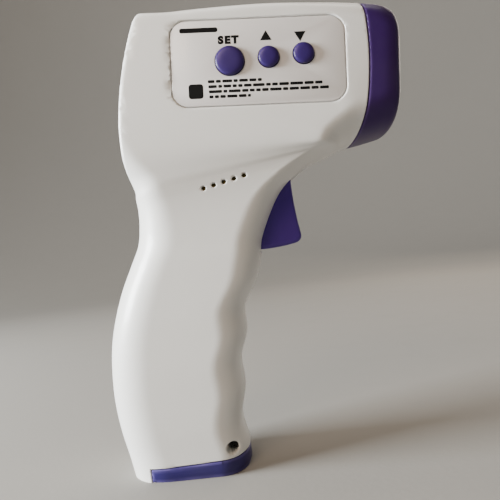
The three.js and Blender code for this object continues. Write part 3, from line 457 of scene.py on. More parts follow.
    def surface(self, u: Points, t: Points, inset: float) -> Points:
        """Points of the surface in millimetres.

        Args:
            u: place round the section, 0 and 1 at the back and 0.5 at the front.
            t: place along the rails, 0 at the base and 1 at the nose.
            inset: how far inside the outer surface.

        Returns:
            (n, 3) points.
        """
        row = spline(self.rails, t)
        step = 1e-4
        slope = spline(self.rails, t + step) - spline(self.rails, t - step)
        back, front, half = row[:, 0:2], row[:, 2:4], row[:, 4] - inset
        across = front - back
        across /= np.linalg.norm(across, axis=1)[:, None]

        def lean(tangent: Points) -> Points:
            """How squarely the section meets its rail."""
            tangent = tangent / np.maximum(np.linalg.norm(tangent, axis=1)[:, None], 1e-9)
            return np.maximum(0.35, tangent[:, 1] * across[:, 0] - tangent[:, 0] * across[:, 1])[:, None]

        back_inner = back + across * row[:, 5:6]
        front_inner = front - across * row[:, 6:7]
        back = back + across * inset / lean(slope[:, 0:2])
        front = front - across * inset / lean(slope[:, 2:4])
        side = np.where(u <= 0.5, 2 * u, 2 - 2 * u)
        sign = np.where(u <= 0.5, 1.0, -1.0)
        corner = self.corner_share
        power = 2 / self.bulge
        quarter = np.clip(np.minimum(side, 1 - side) / corner, 0, 1) * math.pi / 2
        reach = (1 - np.cos(quarter) ** power)[:, None]
        y = half * np.sin(quarter) ** power
        along = (np.clip(side - corner, 0, 1) / (1 - 2 * corner))[:, None]
        flat = back_inner + (front_inner - back_inner) * along
        at_back = back + (back_inner - back) * reach
        at_front = front + (front_inner - front) * reach
        xz = np.where((side < corner)[:, None], at_back, flat)
        xz = np.where((side > 1 - corner)[:, None], at_front, xz)
        return np.stack((xz[:, 0], sign * y, xz[:, 1]), axis=1)

    def loft(
        self, name: str, inset: float, end: float, around: int, along: int, near: Optional[Distance] = None
    ) -> Stock:
        """The surface as a closed solid: a grid wrapped round the sections.

        Args:
            name: the object's name.
            inset: how far inside the outer surface, in millimetres.
            end: where it ends along the rails.
            around: faces round a section.
            along: faces along the rails.
            near: gives each point's distance to a cut, where the grid is made finer.

        Returns:
            The solid.
        """
        bm = bmesh.new()
        bmesh.ops.create_grid(bm, x_segments=around, y_segments=along, size=0.5)

        def wrapped() -> Points:
            """The grid's points on the surface."""
            flat = np.array([v.co for v in bm.verts])
            return self.surface(flat[:, 0] + 0.5, (flat[:, 1] + 0.5) * end, inset)

        if near is not None:
            close = near(wrapped()) < 1.3
            bm.verts.index_update()
            edges = [e for e in bm.edges if close[e.verts[0].index] and close[e.verts[1].index]]
            bmesh.ops.subdivide_edges(bm, edges=edges, cuts=2, use_grid_fill=True)
        for vert, point in zip(bm.verts, wrapped() * MM):
            vert.co = point
        bmesh.ops.remove_doubles(bm, verts=[v for v in bm.verts if v.is_boundary], dist=2e-7)
        bmesh.ops.holes_fill(bm, edges=[e for e in bm.edges if e.is_boundary], sides=0)
        bmesh.ops.recalc_face_normals(bm, faces=bm.faces)
        return Stock(name, bm)

    def display_drum(self, depth: float) -> Stock:
        """The drum whose side is the display face.

        Args:
            depth: how far inside the rim, in millimetres.

        Returns:
            The drum.
        """
        place = self.display @ Matrix.Translation((self.display_centre * MM, 0, 0))
        return bar((self.display_radius - depth) * MM, -FAR / 2, FAR / 2, place, "Y", 720)

    def ahead(self, x: float) -> Stock:
        """Everything in front of the bowed seam, moved x millimetres ahead."""
        radius = self.seam_radius * MM
        reach = self.seam_height * MM
        room = block((-radius / 2, -FAR / 2, -reach), (FAR, FAR / 2, reach), self.nose)
        place = self.nose @ Matrix.Translation((x * MM - radius, 0, -self.seam_apex_below * MM))
        return room.carve(bar(radius, -FAR, FAR, place, "Y", 720), Carve.CUT)


# ------------------------------------------------------------------ soft edges
@dataclass(frozen=True)
class Rim:
    """A moulded edge: a radius, and each point's distance to the cut, both in millimetres."""

    radius: float
    distance: Distance


class Softener:
    """Rounds the edges where cuts meet the outer surface, and marks them for wear."""

    ON_SKIN = 3e-6  # metres, a point this close to the uncut surface lies on it
    INNER_WEAR = 0.6  # share of the wear that reaches into a cut

    def __init__(self, skin: Stock) -> None:
        """Keeps the uncut surface and its normals.

        Args:
            skin: the uncut loft.
        """
        mesh = skin.obj.data
        self.tree = BVHTree.FromPolygons([v.co for v in mesh.vertices], [p.vertices for p in mesh.polygons])
        self.normals = [v.normal.copy() for v in mesh.vertices]
        self.points = kdtree.KDTree(len(mesh.vertices))
        for i, vert in enumerate(mesh.vertices):
            self.points.insert(vert.co, i)
        self.points.balance()

    def normal_at(self, point: Vector) -> Vector:
        """The smooth normal of the uncut surface near a point."""
        total = Vector((0.0, 0.0, 0.0))
        for _, index, distance in self.points.find_n(point, 4):
            total += self.normals[index] / (distance + 1e-6)
        return total.normalized()

    def soften(self, stock: Stock, rims: Sequence[Rim]) -> None:
        """Moves the skin's points inward near the cuts, as a rounded edge.

        Args:
            stock: the cut piece.
            rims: its edges.
        """
        mesh = stock.obj.data
        count = len(mesh.vertices)
        flat = np.empty(count * 3)
        mesh.vertices.foreach_get("co", flat)
        points = flat.reshape(-1, 3) / MM
        fall, mark = np.zeros(count), np.zeros(count)
        for rim in rims:
            d = np.clip(rim.distance(points), 0, None)
            inside = np.clip(rim.radius - d, 0, rim.radius)
            fall = np.maximum(fall, rim.radius - np.sqrt(rim.radius**2 - inside**2))
            mark = np.maximum(mark, np.clip(1 - d / (2.2 * rim.radius + 0.3), 0, 1))
        for i in np.nonzero(mark > 0)[0]:
            co = mesh.vertices[i].co
            hit, _, _, away = self.tree.find_nearest(co)
            if hit is None or away > self.ON_SKIN:
                mark[i] *= self.INNER_WEAR
                continue
            if fall[i] > 0:
                mesh.vertices[i].co = co - self.normal_at(co) * float(fall[i]) * MM
        layer = mesh.attributes.new("rim", "FLOAT", "POINT")
        layer.data.foreach_set("value", mark.astype(np.float32))
        mesh.update()


def box_distance(x: Points, z: Points, half_x: float, half_z: float, corner: float) -> Points:
    """Distance in the plane to the outline of a rounded rectangle, negative inside it.

    Args:
        x: first coordinate from its middle.
        z: second coordinate from its middle.
        half_x: half its width.
        half_z: half its height.
        corner: its corner radius.

    Returns:
        The distances.
    """
    qx, qz = np.abs(x) - half_x + corner, np.abs(z) - half_z + corner
    outside = np.hypot(np.maximum(qx, 0), np.maximum(qz, 0))
    return outside + np.minimum(np.maximum(qx, qz), 0) - corner


# ------------------------------------------------------------------ housing
KEYS = ("set_button", "up_button", "down_button")
KEY_FLANGE = 0.9  # millimetres, how far a key's flange stands out past its cap
KEY_HOLE_END = -9.6  # millimetres, where the key holes end in Y
SPEAKER_HOLE_END = -14.2


def key_size(key: str, inset: float) -> tuple[float, Matrix]:
    """A radius and the place of a key.

    Args:
        key: the CAD key.
        inset: how much smaller than its flange the radius is, in millimetres.

    Returns:
        The radius in metres, and a frame on the key's axis.
    """
    low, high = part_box(key)
    middle = centre(key)
    return (high[0] - low[0]) / 2 - inset * MM, Matrix.Translation((middle.x, 0, middle.z))


@dataclass
class Housing:
    """The handle and head shells, the nose ring and the battery cover, all cut from one surface."""

    form: BodyForm
    wall: float = 2.0
    parting_gap: float = 0.3
    clearance: float = 0.3
    label_recess: float = 0.8
    label_length: float = 54.5
    label_height: float = 26.8
    label_corner: float = 5.0
    label_droop: float = 3.5
    slot_half: float = 5.9
    slot_rear: float = 26.0
    slot_front: float = 44.4
    slot_below_neck: float = 19.8
    speaker_radius: float = 0.75
    speaker_pitch: float = 3.4
    speaker_lean: float = 0.21
    speaker_holes: int = 5
    cover_rear: float = -12.8
    cover_front: float = 20.2
    cover_low: float = 4.5
    cover_high: float = 5.6
    cover_floor: float = 1.8
    rim_radius: float = 1.35
    screw_hole: float = 2.1
    screw_head: float = 1.6
    screw_depth: float = 14.6  # of the blind hole, from the seat
    pilot: float = 1.3
    boss: float = 3.1
    pin_boss: float = 2.8
    pin_bore: float = 1.5
    pin_reach: float = 9.0
    slot_top: float = 4.6  # above the pivot
    funnel_bore: float = 11.5 + 1.3 + 0.3
    fine_grid: tuple[int, int] = (208, 290)
    plain_grid: tuple[int, int] = (72, 96)

    def __post_init__(self) -> None:
        """Finds the places of the holes from the frame."""
        self.label_middle = centre("left_label") / MM
        self.buzzer = centre("buzzer_disc") / MM
        self.pivot = centre("trigger_pin") / MM
        names = ("base_screw", "head_screw_rear", "head_screw_front")
        self.screws = {name: centre(name) / MM for name in names}
        head = self.screw_head + self.clearance
        self.seats = {name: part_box(name)[0][1] / MM + head for name in names}
        self.cover_rise = (self.cover_high - self.cover_low) / (self.cover_front - self.cover_rear)
        self.outer = self.form.loft("outer", 0, 1, *self.fine_grid, self.nearest_cut)
        self.inner = self.form.loft("inner", self.wall, self.form.inner_end, *self.plain_grid)
        self.inner.carve(block((-FAR, -FAR, self.cover_floor * MM), (FAR, FAR, FAR)), Carve.KEEP)
        self.softener = Softener(self.outer)

    # distances to the cuts, in millimetres
    def from_parting(self, p: Points) -> Points:
        """Distance to the parting line."""
        return np.abs(p[:, 1]) - self.parting_gap / 2

    def from_seam(self, p: Points) -> Points:
        """Distance behind the seam of the nose ring, negative in front of it."""
        place = Matrix.Translation((-self.form.seam_radius * MM, 0, -self.form.seam_apex_below * MM))
        axis = (self.form.nose @ place).translation / MM
        away = self.form.seam_radius - np.hypot(p[:, 0] - axis.x, p[:, 2] - axis.z)
        return away + np.where(p[:, 0] > self.form.head_length / 2, 0, BESIDE)

    def from_cover(self, p: Points) -> Points:
        """Distance above or behind the room of the battery cover, negative in it."""
        line = self.cover_low + self.cover_rise * (p[:, 0] - self.cover_rear)
        return np.maximum(p[:, 2] - line, self.cover_rear - p[:, 0])

    def from_display(self, p: Points) -> Points:
        """Distance in front of the display face or below its cut."""
        axis = self.form.display @ Vector((self.form.display_centre * MM, 0, 0)) / MM
        reach = self.form.display_radius - np.hypot(p[:, 0] - axis.x, p[:, 2] - axis.z)
        return np.maximum(reach, self.form.neck + self.form.display_cut - p[:, 2])

    def from_label(self, p: Points) -> Points:
        """Distance to the outline of the label recess."""
        droop = math.radians(self.label_droop)
        x, z = p[:, 0] - self.label_middle.x, p[:, 2] - self.label_middle.z
        along = x * math.cos(droop) - z * math.sin(droop)
        up = x * math.sin(droop) + z * math.cos(droop)
        half_x, half_z = self.label_length / 2 + self.clearance, self.label_height / 2 + self.clearance
        flank = np.where(np.abs(p[:, 1]) > self.form.head_half - 2.5, 0, BESIDE)
        return box_distance(along, up, half_x, half_z, self.label_corner + self.clearance) + flank

    def from_slot(self, p: Points) -> Points:
        """Distance to the trigger's slot."""
        low = self.form.neck - self.slot_below_neck
        across = np.maximum(np.abs(p[:, 1]) - self.slot_half, low - p[:, 2])
        above = np.where(p[:, 2] > self.form.neck + 8, BESIDE, 0)
        return np.maximum(across, self.slot_rear - p[:, 0]) + above

    def speaker_places(self) -> list[tuple[float, float]]:
        """X and Z of the speaker holes."""
        middle = (self.speaker_holes - 1) / 2
        step_x = self.speaker_pitch * math.cos(self.speaker_lean)
        step_z = self.speaker_pitch * math.sin(self.speaker_lean)
        return [
            (self.buzzer.x + (i - middle) * step_x, self.buzzer.z + (i - middle) * step_z)
            for i in range(self.speaker_holes)
        ]

    def from_speaker(self, p: Points) -> Points:
        """Distance to the nearest speaker hole in the right shell."""
        away = [np.hypot(p[:, 0] - x, p[:, 2] - z) - self.speaker_radius for x, z in self.speaker_places()]
        return np.min(away, axis=0) + np.where(p[:, 1] < 0, 0, BESIDE)

    def from_screw(self, p: Points) -> Points:
        """Distance to the screw hole in the right side of the handle."""
        hole = self.screws["base_screw"]
        away = np.hypot(p[:, 0] - hole.x, p[:, 2] - hole.z)
        return away - self.screw_hole + np.where(p[:, 1] < 0, 0, BESIDE)

    def from_ground(self, p: Points) -> Points:
        """Height above the base."""
        return p[:, 2]

    def nearest_cut(self, p: Points) -> Points:
        """Distance to the nearest of all cuts."""
        all_cuts = (
            self.from_parting, self.from_seam, self.from_cover, self.from_label,
            self.from_slot, self.from_speaker, self.from_screw, self.from_ground,
        )
        near = np.min([np.abs(cut(p)) for cut in all_cuts], axis=0)
        return np.minimum(near, np.abs(self.from_display(p)) - 0.9)

    def cover_room(self, gap: float) -> Stock:
        """The room below the sloping line of the battery cover.

        Args:
            gap: how far it is drawn in.

        Returns:
            The room as a block with a sloping top.
        """
        stock = block((-FAR / 8, -FAR / 8, -FAR / 8), (FAR / 8, FAR / 8, 0))
        for vert in stock.obj.data.vertices:
            x = (self.cover_rear + gap) * MM if vert.co.x < 0 else vert.co.x
            top = (self.cover_low - gap) * MM + self.cover_rise * (x - self.cover_rear * MM)
            vert.co = (x, vert.co.y, top if vert.co.z > -MM else vert.co.z)
        return stock

    def posts(self, side: Side) -> Stock:
        """The screw posts and the trigger's bearing inside a shell."""
        sign, wide = side.value, self.form.head_half * MM
        start = sign * (self.slot_half + 0.4) * MM
        posts = bar(self.pin_boss * MM, start, sign * wide, at(self.pivot.x, self.pivot.z))
        for spot in self.screws.values():
            posts.carve(bar(self.boss * MM, 0, sign * wide, at(spot.x, spot.z)), Carve.JOIN)
        core = self.form.loft("core", self.wall / 2, 1, *self.plain_grid)
        return posts.carve(core, Carve.KEEP)

    def build_shell(self, side: Side, name: str) -> bpy.types.Object:
        """One half of the housing.

        Args:
            side: which half.
            name: the piece's name.

        Returns:
            The piece.
        """
        form, sign = self.form, side.value
        ends = (sign * self.parting_gap / 2 * MM, sign * FAR)
        own_half = block((-FAR, min(ends), 0), (FAR, max(ends), FAR))
        shell = self.outer.copy(name)
        shell.carve(own_half, Carve.KEEP, keep_tool=True)
        shell.carve(self.inner, Carve.CUT, keep_tool=True)
        shell.carve(self.posts(side).carve(own_half, Carve.KEEP), Carve.JOIN)
        behind = block((-FAR / 2, -FAR / 2, (form.neck + form.display_cut) * MM), (FAR / 2, FAR / 2, FAR))
        behind.carve(form.display_drum(0), Carve.CUT)
        low = form.neck - self.slot_below_neck
        slot = block(
            (self.slot_rear * MM, -self.slot_half * MM, low * MM),
            (self.slot_front * MM, self.slot_half * MM, (self.pivot.z + self.slot_top) * MM),
        )
        pin = bar(self.pin_bore * MM, 0, sign * self.pin_reach * MM, at(self.pivot.x, self.pivot.z))
        for tool in (behind, form.ahead(0), self.cover_room(0), self.label_pocket(side), slot, pin):
            shell.carve(tool, Carve.CUT)
        self.drill(shell, side)
        self.softener.soften(shell, self.rims(side))
        return shell.finished(name)

    def label_frame(self, side: Side) -> Matrix:
        """The label's frame: X along the label, Y up it and Z out of the flank."""
        droop = Matrix.Rotation(math.radians(self.label_droop), 4, "Y")
        out = Matrix.Rotation(math.pi / 2, 4, "X")
        if side is Side.LEFT:
            out = Matrix.Rotation(math.pi, 4, "Z") @ out
        return at(self.label_middle.x, self.label_middle.z) @ droop @ out

    def label_pocket(self, side: Side) -> Stock:
        """The cutter of the shallow label recess."""
        grow = 2 * self.clearance
        return tablet(
            (self.label_length + grow) * MM,
            (self.label_height + grow) * MM,
            (self.label_corner + self.clearance) * MM,
            (self.form.head_half - self.label_recess) * MM,
            REACH,
            self.label_frame(side),
        )

    def drill(self, shell: Stock, side: Side) -> None:
        """Bores the holes of screws, keys and speaker."""
        for name, spot in self.screws.items():
            place, seat = at(spot.x, spot.z), self.seats[name]
            if side is Side.LEFT:
                shell.carve(bar(self.pilot * MM, -MM, (seat + self.screw_depth) * MM, place), Carve.CUT)
                continue
            shell.carve(bar(self.pilot * MM, (seat - 1) * MM, MM, place), Carve.CUT)
            shell.carve(bar(self.screw_hole * MM, -REACH, seat * MM, place), Carve.CUT)
        if side is Side.LEFT:
            return
        for key in KEYS:
            radius, place = key_size(key, KEY_FLANGE - self.clearance)
            shell.carve(bar(radius, -REACH, KEY_HOLE_END * MM, place), Carve.CUT)
        for x, z in self.speaker_places():
            hole = bar(self.speaker_radius * MM, -REACH, SPEAKER_HOLE_END * MM, at(x, z), "Y", 32)
            shell.carve(hole, Carve.CUT)

    def rims(self, side: Side) -> list[Rim]:
        """The moulded edges of a shell."""
        edges = [
            Rim(0.28, self.from_parting),
            Rim(0.4, self.from_seam),
            Rim(0.35, self.from_cover),
            Rim(0.45, self.from_label),
            Rim(0.7, self.from_slot),
            Rim(self.rim_radius, self.from_display),
        ]
        if side is Side.RIGHT:
            edges += [Rim(0.35, self.from_speaker), Rim(0.5, self.from_screw)]
        return edges

    def build_cover(self) -> bpy.types.Object:
        """The battery cover at the base, hollowed above its floor."""
        cover = self.outer.copy("cover")
        cover.carve(self.cover_room(self.parting_gap), Carve.KEEP)
        cover.carve(block((-FAR, -FAR, 0), (FAR, FAR, FAR)), Carve.KEEP)
        cover.carve(self.inner, Carve.CUT, keep_tool=True)
        gap = self.parting_gap
        self.softener.soften(
            cover,
            [Rim(0.35, lambda p: -self.from_cover(p) - gap), Rim(0.6, self.from_ground)],
        )
        return cover.finished("battery_cover_skin")

    def build_ring(self) -> bpy.types.Object:
        """The dark ring round the nose."""
        ring = self.outer.copy("ring")
        ring.carve(self.form.ahead(self.parting_gap), Carve.KEEP)
        ring.carve(bar(self.funnel_bore * MM, -REACH, REACH, self.form.nose, "X", 128), Carve.CUT)
        self.softener.soften(ring, [Rim(0.4, lambda p: -self.from_seam(p) - self.parting_gap)])
        return ring.finished("nose_ring_skin", 30)

    def close(self) -> None:
        """Clears the bench."""
        self.outer.discard()
        self.inner.discard()


# ------------------------------------------------------------------ labels and print
@dataclass
class Labels:
    """The two label films and the print on the right one."""

    housing: Housing
    film: float = 0.3
    edge: float = 0.14
    ink: float = 0.025
    key_inset: float = 0.6
    small_print_x: float = 19.6
    dash_height: float = 0.92
    dash_gap: float = 0.42
    seed: int = 7

    def build_film(self, side: Side, name: str) -> bpy.types.Object:
        """A label film in its recess."""
        h = self.housing
        seat = h.form.head_half - h.label_recess + h.clearance
        stock = tablet(
            h.label_length * MM,
            h.label_height * MM,
            h.label_corner * MM,
            seat * MM,
            (seat + self.film) * MM,
            h.label_frame(side),
            self.edge * MM,
        )
        if side is Side.RIGHT:
            for key in KEYS:
                radius, place = key_size(key, self.key_inset)
                stock.carve(bar(radius, -REACH, 0, place, "Y", 96), Carve.CUT)
        return stock.finished(name, 50)

    def print_frame(self, x: float, z: float) -> Matrix:
        """The frame of a printed mark.

        Args:
            x: its middle along the body.
            z: its height.

        Returns:
            A frame on the right label's face, with Z out of it.
        """
        h = self.housing
        face = -(h.form.head_half - h.label_recess + h.clearance + self.film)
        droop = Matrix.Rotation(math.radians(h.label_droop), 4, "Y")
        out = Matrix.Rotation(math.pi / 2, 4, "X")
        return Matrix.Translation((x * MM, face * MM, z * MM)) @ droop @ out

    def mark(self, bm: bmesh.types.BMesh, made: Sequence[bmesh.types.BMVert], place: Matrix) -> None:
        """Gives flat printed faces their thickness and place."""
        faces = {f for v in made for f in v.link_faces}
        lifted = bmesh.ops.extrude_face_region(bm, geom=list(faces))
        raised = [v for v in lifted["geom"] if isinstance(v, bmesh.types.BMVert)]
        bmesh.ops.translate(bm, vec=(0, 0, self.ink * MM), verts=raised)
        bmesh.ops.transform(bm, matrix=place, verts=list(made) + raised)

    def dash(self, bm: bmesh.types.BMesh, width: float, height: float, place: Matrix, corner: float) -> None:
        """A printed bar with rounded corners, in millimetres."""
        earlier = set(bm.verts)
        made = bmesh.ops.create_grid(bm, x_segments=1, y_segments=1, size=0.5)["verts"]
        bmesh.ops.scale(bm, vec=(width * MM, height * MM, 1), verts=made)
        rounded(bm, made, corner * MM, 4, "VERTICES")
        self.mark(bm, [v for v in bm.verts if v not in earlier], place)

    def lettering(self, bm: bmesh.types.BMesh, text: str, height: float, place: Matrix) -> None:
        """A plain function word in a bold face, its height in millimetres."""
        curve = bpy.data.curves.new("word", "FONT")
        curve.body = text
        curve.size = height * 1.37 * MM
        curve.space_character = 1.28
        curve.align_x = "CENTER"
        curve.align_y = "CENTER"
        curve.offset = 0.1 * height * MM
        curve.extrude = self.ink * MM / 2
        holder = bpy.data.objects.new("word", curve)
        bpy.context.scene.collection.objects.link(holder)
        ready = holder.evaluated_get(bpy.context.evaluated_depsgraph_get())
        mesh = bpy.data.meshes.new_from_object(ready)
        lift = Matrix.Translation((0, 0, self.ink * MM / 2))
        mesh.transform(place @ lift @ Matrix.Diagonal((1.02, 0.94, 1, 1)))
        bm.from_mesh(mesh)
        bpy.data.objects.remove(holder)

    def build_print(self) -> bpy.types.Object:
        """The dark print: the key word, two arrows, a plain bar and square, and lines of dashes."""
        bm = bmesh.new()
        self.lettering(bm, "SET", 2.45, self.print_frame(27.3, 138.9))
        for x, z, turn in ((39.1, 138.7, 0.0), (49.8, 138.3, math.pi)):
            made = bmesh.ops.create_circle(bm, cap_ends=True, segments=3, radius=2.15 * MM)["verts"]
            shape = Matrix.Rotation(turn, 4, "Z") @ Matrix.Diagonal((0.98, 0.96, 1, 1))
            self.mark(bm, made, self.print_frame(x, z) @ shape)
        self.dash(bm, 12.0, 1.5, self.print_frame(18.3, 142.9), 0.6)
        self.dash(bm, 4.6, 4.6, self.print_frame(15.6, 123.9), 0.9)
        self.small_print(bm)
        stock = Stock("print", bm)
        return stock.finished("label_print", 20)

    def small_print(self, bm: bmesh.types.BMesh) -> None:
        """Four lines of dashes that stand for small print."""
        dice = random.Random(self.seed)
        drop = math.tan(math.radians(self.housing.label_droop))
        for z, length in ((126.6, 17.2), (125.0, 36.0), (123.4, 38.4), (121.8, 13.0)):
            x, end = self.small_print_x, self.small_print_x + length
            while x < end - 0.5:
                width = min(dice.uniform(1.1, 4.2), end - x)
                middle = x + width / 2
                place = self.print_frame(middle, z - (middle - self.small_print_x) * drop)
                self.dash(bm, width, self.dash_height, place, 0.3)
                x += width + self.dash_gap


# ------------------------------------------------------------------ keys, trigger, nose and display
@dataclass
class Keys:
    """The three push keys."""

    flange_rear: float = -18.6  # where the flange begins in Y
    flange_depth: float = 0.8
    stem: float = 1.5
    crown: float = 1.15
    crown_power: float = 0.6
    crown_steps: int = 14
    chamfer: float = 0.15

    def build(self, node: str) -> bpy.types.Object:
        """A domed key on its flange and stem.

        Args:
            node: the CAD key it stands for.

        Returns:
            The piece.
        """
        low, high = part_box(node)
        radius, place = key_size(node, KEY_FLANGE)
        face, stem_end = low[1], high[1]
        rear, wide = self.flange_rear * MM, radius + KEY_FLANGE * MM
        profile = [(face, 0.0)]
        for i in range(1, self.crown_steps + 1):
            angle = i / self.crown_steps * math.pi / 2
            depth = self.crown * MM * (1 - math.cos(angle) ** self.crown_power)
            profile.append((face + depth, radius * math.sin(angle) ** self.crown_power))
        profile += [
            (rear, radius),
            (rear + 0.05 * MM, wide - 0.1 * MM),
            (rear + self.chamfer * MM, wide),
            (rear + self.flange_depth * MM, wide),
            (rear + self.flange_depth * MM, self.stem * MM),
            (stem_end - self.chamfer * MM, self.stem * MM),
            (stem_end, (self.stem - self.chamfer) * MM),
            (stem_end, 0.0),
        ]
        return turned(profile, place, "Y").finished(node + "_cap", 40)


@dataclass
class Trigger:
    """The finger trigger: a rounded lever with its pin hole, and its return spring."""

    half_width: float = 5.5
    edge: float = 1.35
    hub: float = 3.6
    bore: float = 1.5
    spring_wire: float = 0.3
    spring_turns: int = 4
    spring_steps: int = 32  # to a turn

    def outline(self) -> list[tuple[float, float]]:
        """The lever's outline in X and Z, relative to its pivot, in millimetres."""

        def bend(start: Sequence[float], pull: Sequence[float], end: Sequence[float], steps: int) -> list:
            """Points on a quadratic curve, without its start."""
            ts = (i / steps for i in range(1, steps + 1))
            along = list(zip(start, pull, end))
            return [
                tuple((1 - t) ** 2 * a + 2 * t * (1 - t) * b + t * t * c for a, b, c in along) for t in ts
            ]

        front, toe = (7.0, 0.6), (8.7, -18.8)
        points = [front]
        points += bend(front, (7.0, -9.0), toe, 16)
        points += bend(toe, (8.9, -21.3), (6.1, -21.8), 6)
        points += bend((6.1, -21.8), (0.9, -22.8), (-5.4, -22.8), 10)
        points += [(-7.3, -21.0), (-7.3, -6.0), (-3.6, 0.0)]
        for i in range(1, 13):
            angle = math.pi - i / 12 * (2 * math.pi / 3)
            points.append((self.hub * math.cos(angle), self.hub * math.sin(angle)))
        return points

    def build(self) -> bpy.types.Object:
        """The lever, extruded from its outline and rounded."""
        pivot = centre("trigger_pin")
        outline = self.outline()
        bm = bmesh.new()
        bmesh.ops.create_circle(bm, cap_ends=True, segments=len(outline), radius=1)
        bm.verts.ensure_lookup_table()
        ring = [loop.vert for loop in bm.faces[:][0].loops]
        for vert, (x, z) in zip(ring, outline):
            vert.co = (pivot.x + x * MM, -self.half_width * MM, pivot.z + z * MM)
        lifted = bmesh.ops.extrude_face_region(bm, geom=bm.faces[:])
        raised = [v for v in lifted["geom"] if isinstance(v, bmesh.types.BMVert)]
        bmesh.ops.translate(bm, vec=(0, 2 * self.half_width * MM, 0), verts=raised)
        bmesh.ops.recalc_face_normals(bm, faces=bm.faces)
        rim = [e for e in bm.edges if abs(e.verts[0].co.y - e.verts[1].co.y) < LEVEL]
        bmesh.ops.bevel(
            bm, geom=rim, offset=self.edge * MM, offset_type="OFFSET", segments=6, profile=0.5,
            affect="EDGES", material=-1, clamp_overlap=True,
        )
        stock = Stock("trigger", bm)
        place = Matrix.Translation((pivot.x, 0, pivot.z))
        stock.carve(bar(self.bore * MM, -REACH, REACH, place), Carve.CUT)
        return stock.finished("trigger_lever", 28)

    def build_spring(self) -> bpy.types.Object:
        """The return spring: a round wire section spun and drawn out into a coil."""
        low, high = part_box("trigger_spring")
        middle = centre("trigger_spring")
        wire = self.spring_wire * MM
        radius = (high[2] - low[2]) / 2 - wire
        travel = high[0] - low[0] - 2 * wire
        steps = self.spring_turns * self.spring_steps
        bm = bmesh.new()
        start = Matrix.Translation((low[0] + wire, middle.y, middle.z + radius))
        section = start @ Matrix.Rotation(math.pi / 2, 4, "X")
        bmesh.ops.create_circle(bm, cap_ends=True, segments=10, radius=wire, matrix=section)
        bmesh.ops.spin(
            bm, geom=bm.verts[:] + bm.edges[:] + bm.faces[:], cent=middle, axis=(1, 0, 0),
            angle=2 * math.pi * self.spring_turns, dvec=(travel / steps, 0, 0), steps=steps,
        )
        bmesh.ops.remove_doubles(bm, verts=bm.verts, dist=1e-7)
        bmesh.ops.recalc_face_normals(bm, faces=bm.faces)
        return Stock("spring", bm).finished("trigger_return_spring", 50)


@dataclass
class Nose:
    """The sensor funnel in the middle of the nose ring."""

    form: BodyForm
    mouth: float = 11.5
    throat: float = 5.6
    depth: float = 17.0
    recess: float = 0.6
    wall: float = 1.3
    tail: float = 4.0
    lip: float = 0.3

    def build_funnel(self) -> bpy.types.Object:
        """The funnel: a stepped cone with a rounded lip, closed all round."""
        mouth_x = self.form.ring_length - self.recess
        throat_x = mouth_x - self.depth
        tail_x = throat_x - self.tail
        shelf_x = mouth_x - 0.4 * self.depth
        lip, outer = self.lip, self.mouth + self.wall
        inside = [
            (mouth_x, self.mouth + lip),
            (mouth_x - 0.1, self.mouth + 0.1),
            (mouth_x - lip, self.mouth),
            (shelf_x + 0.35, self.mouth - 1.6),
            (shelf_x, self.mouth - 1.95),
            (shelf_x - 0.4, self.mouth - 2.15),
            (throat_x + 0.3, self.throat + 0.2),
            (throat_x, self.throat),
            (tail_x, self.throat),
        ]
        outside = [
            (tail_x, self.throat + self.wall),
            (throat_x, self.throat + self.wall),
            (shelf_x, outer - 1.8),
            (mouth_x - 1.5, outer),
            (mouth_x - lip, outer),
            (mouth_x - 0.08, outer - 0.08),
            (mouth_x, outer - lip),
        ]
        profile = [(x * MM, r * MM) for x, r in inside + outside]
        profile.append(profile[0])
        return turned(profile, self.form.nose, "X", 128).finished("funnel_cone", 40)


@dataclass
class Display:
    """The clear window of the display and the segments behind it."""

    form: BodyForm
    width: float = 27.0
    height: float = 33.0
    corner: float = 3.0
    face_depth: float = 1.4
    thickness: float = 1.4
    digit_width: float = 5.0
    digit_height: float = 10.0
    digit_pitch: float = 8.0
    point_x: float = 4.1
    stroke: float = 1.0
    stroke_depth: float = 0.06
    panel_depth: float = 2.62  # of the panel's face, behind the chord of the rim

    def plane(self) -> Matrix:
        """The display's frame with its X across, its Y up and its Z out of the face."""
        turn = Matrix(((0, 0, -1, 0), (-1, 0, 0, 0), (0, 1, 0, 0), (0, 0, 0, 1)))
        return self.form.display @ turn

    def build_window(self) -> bpy.types.Object:
        """The curved clear window."""
        pane = tablet(self.width * MM, self.height * MM, self.corner * MM, -FAR / 20, FAR / 20, self.plane())
        pane.carve(self.form.display_drum(self.face_depth), Carve.KEEP)
        pane.carve(self.form.display_drum(self.face_depth + self.thickness), Carve.CUT)
        return pane.finished("window_pane", 30)

    def build_segments(self) -> bpy.types.Object:
        """Three plain digits of dark segments on the panel, with a decimal point."""
        bm = bmesh.new()
        w, h, s = self.digit_width, self.digit_height, self.stroke
        strokes = (
            (0, h / 2, w - s, s), (0, 0, w - s, s), (0, -h / 2, w - s, s),
            (-w / 2, h / 4, s, h / 2 - s), (w / 2, h / 4, s, h / 2 - s),
            (-w / 2, -h / 4, s, h / 2 - s), (w / 2, -h / 4, s, h / 2 - s),
        )
        pitch = self.digit_pitch
        places = [(shift + x, y, a, b) for shift in (-pitch, 0.0, pitch) for x, y, a, b in strokes]
        places.append((self.point_x, -h / 2, s, s))
        for x, y, a, b in places:
            made = bmesh.ops.create_cube(bm, size=1.0)["verts"]
            bmesh.ops.scale(bm, vec=(a * MM, b * MM, self.stroke_depth * MM), verts=made)
            bmesh.ops.translate(bm, vec=(x * MM, y * MM, -self.panel_depth * MM), verts=made)
            rounded(bm, list({e: None for v in made for e in upright_edges(v.link_edges)}), 0.3 * MM, 2)
        bmesh.ops.transform(bm, matrix=self.plane(), verts=bm.verts)
        return Stock("segments", bm).finished("lcd_segments", 30)


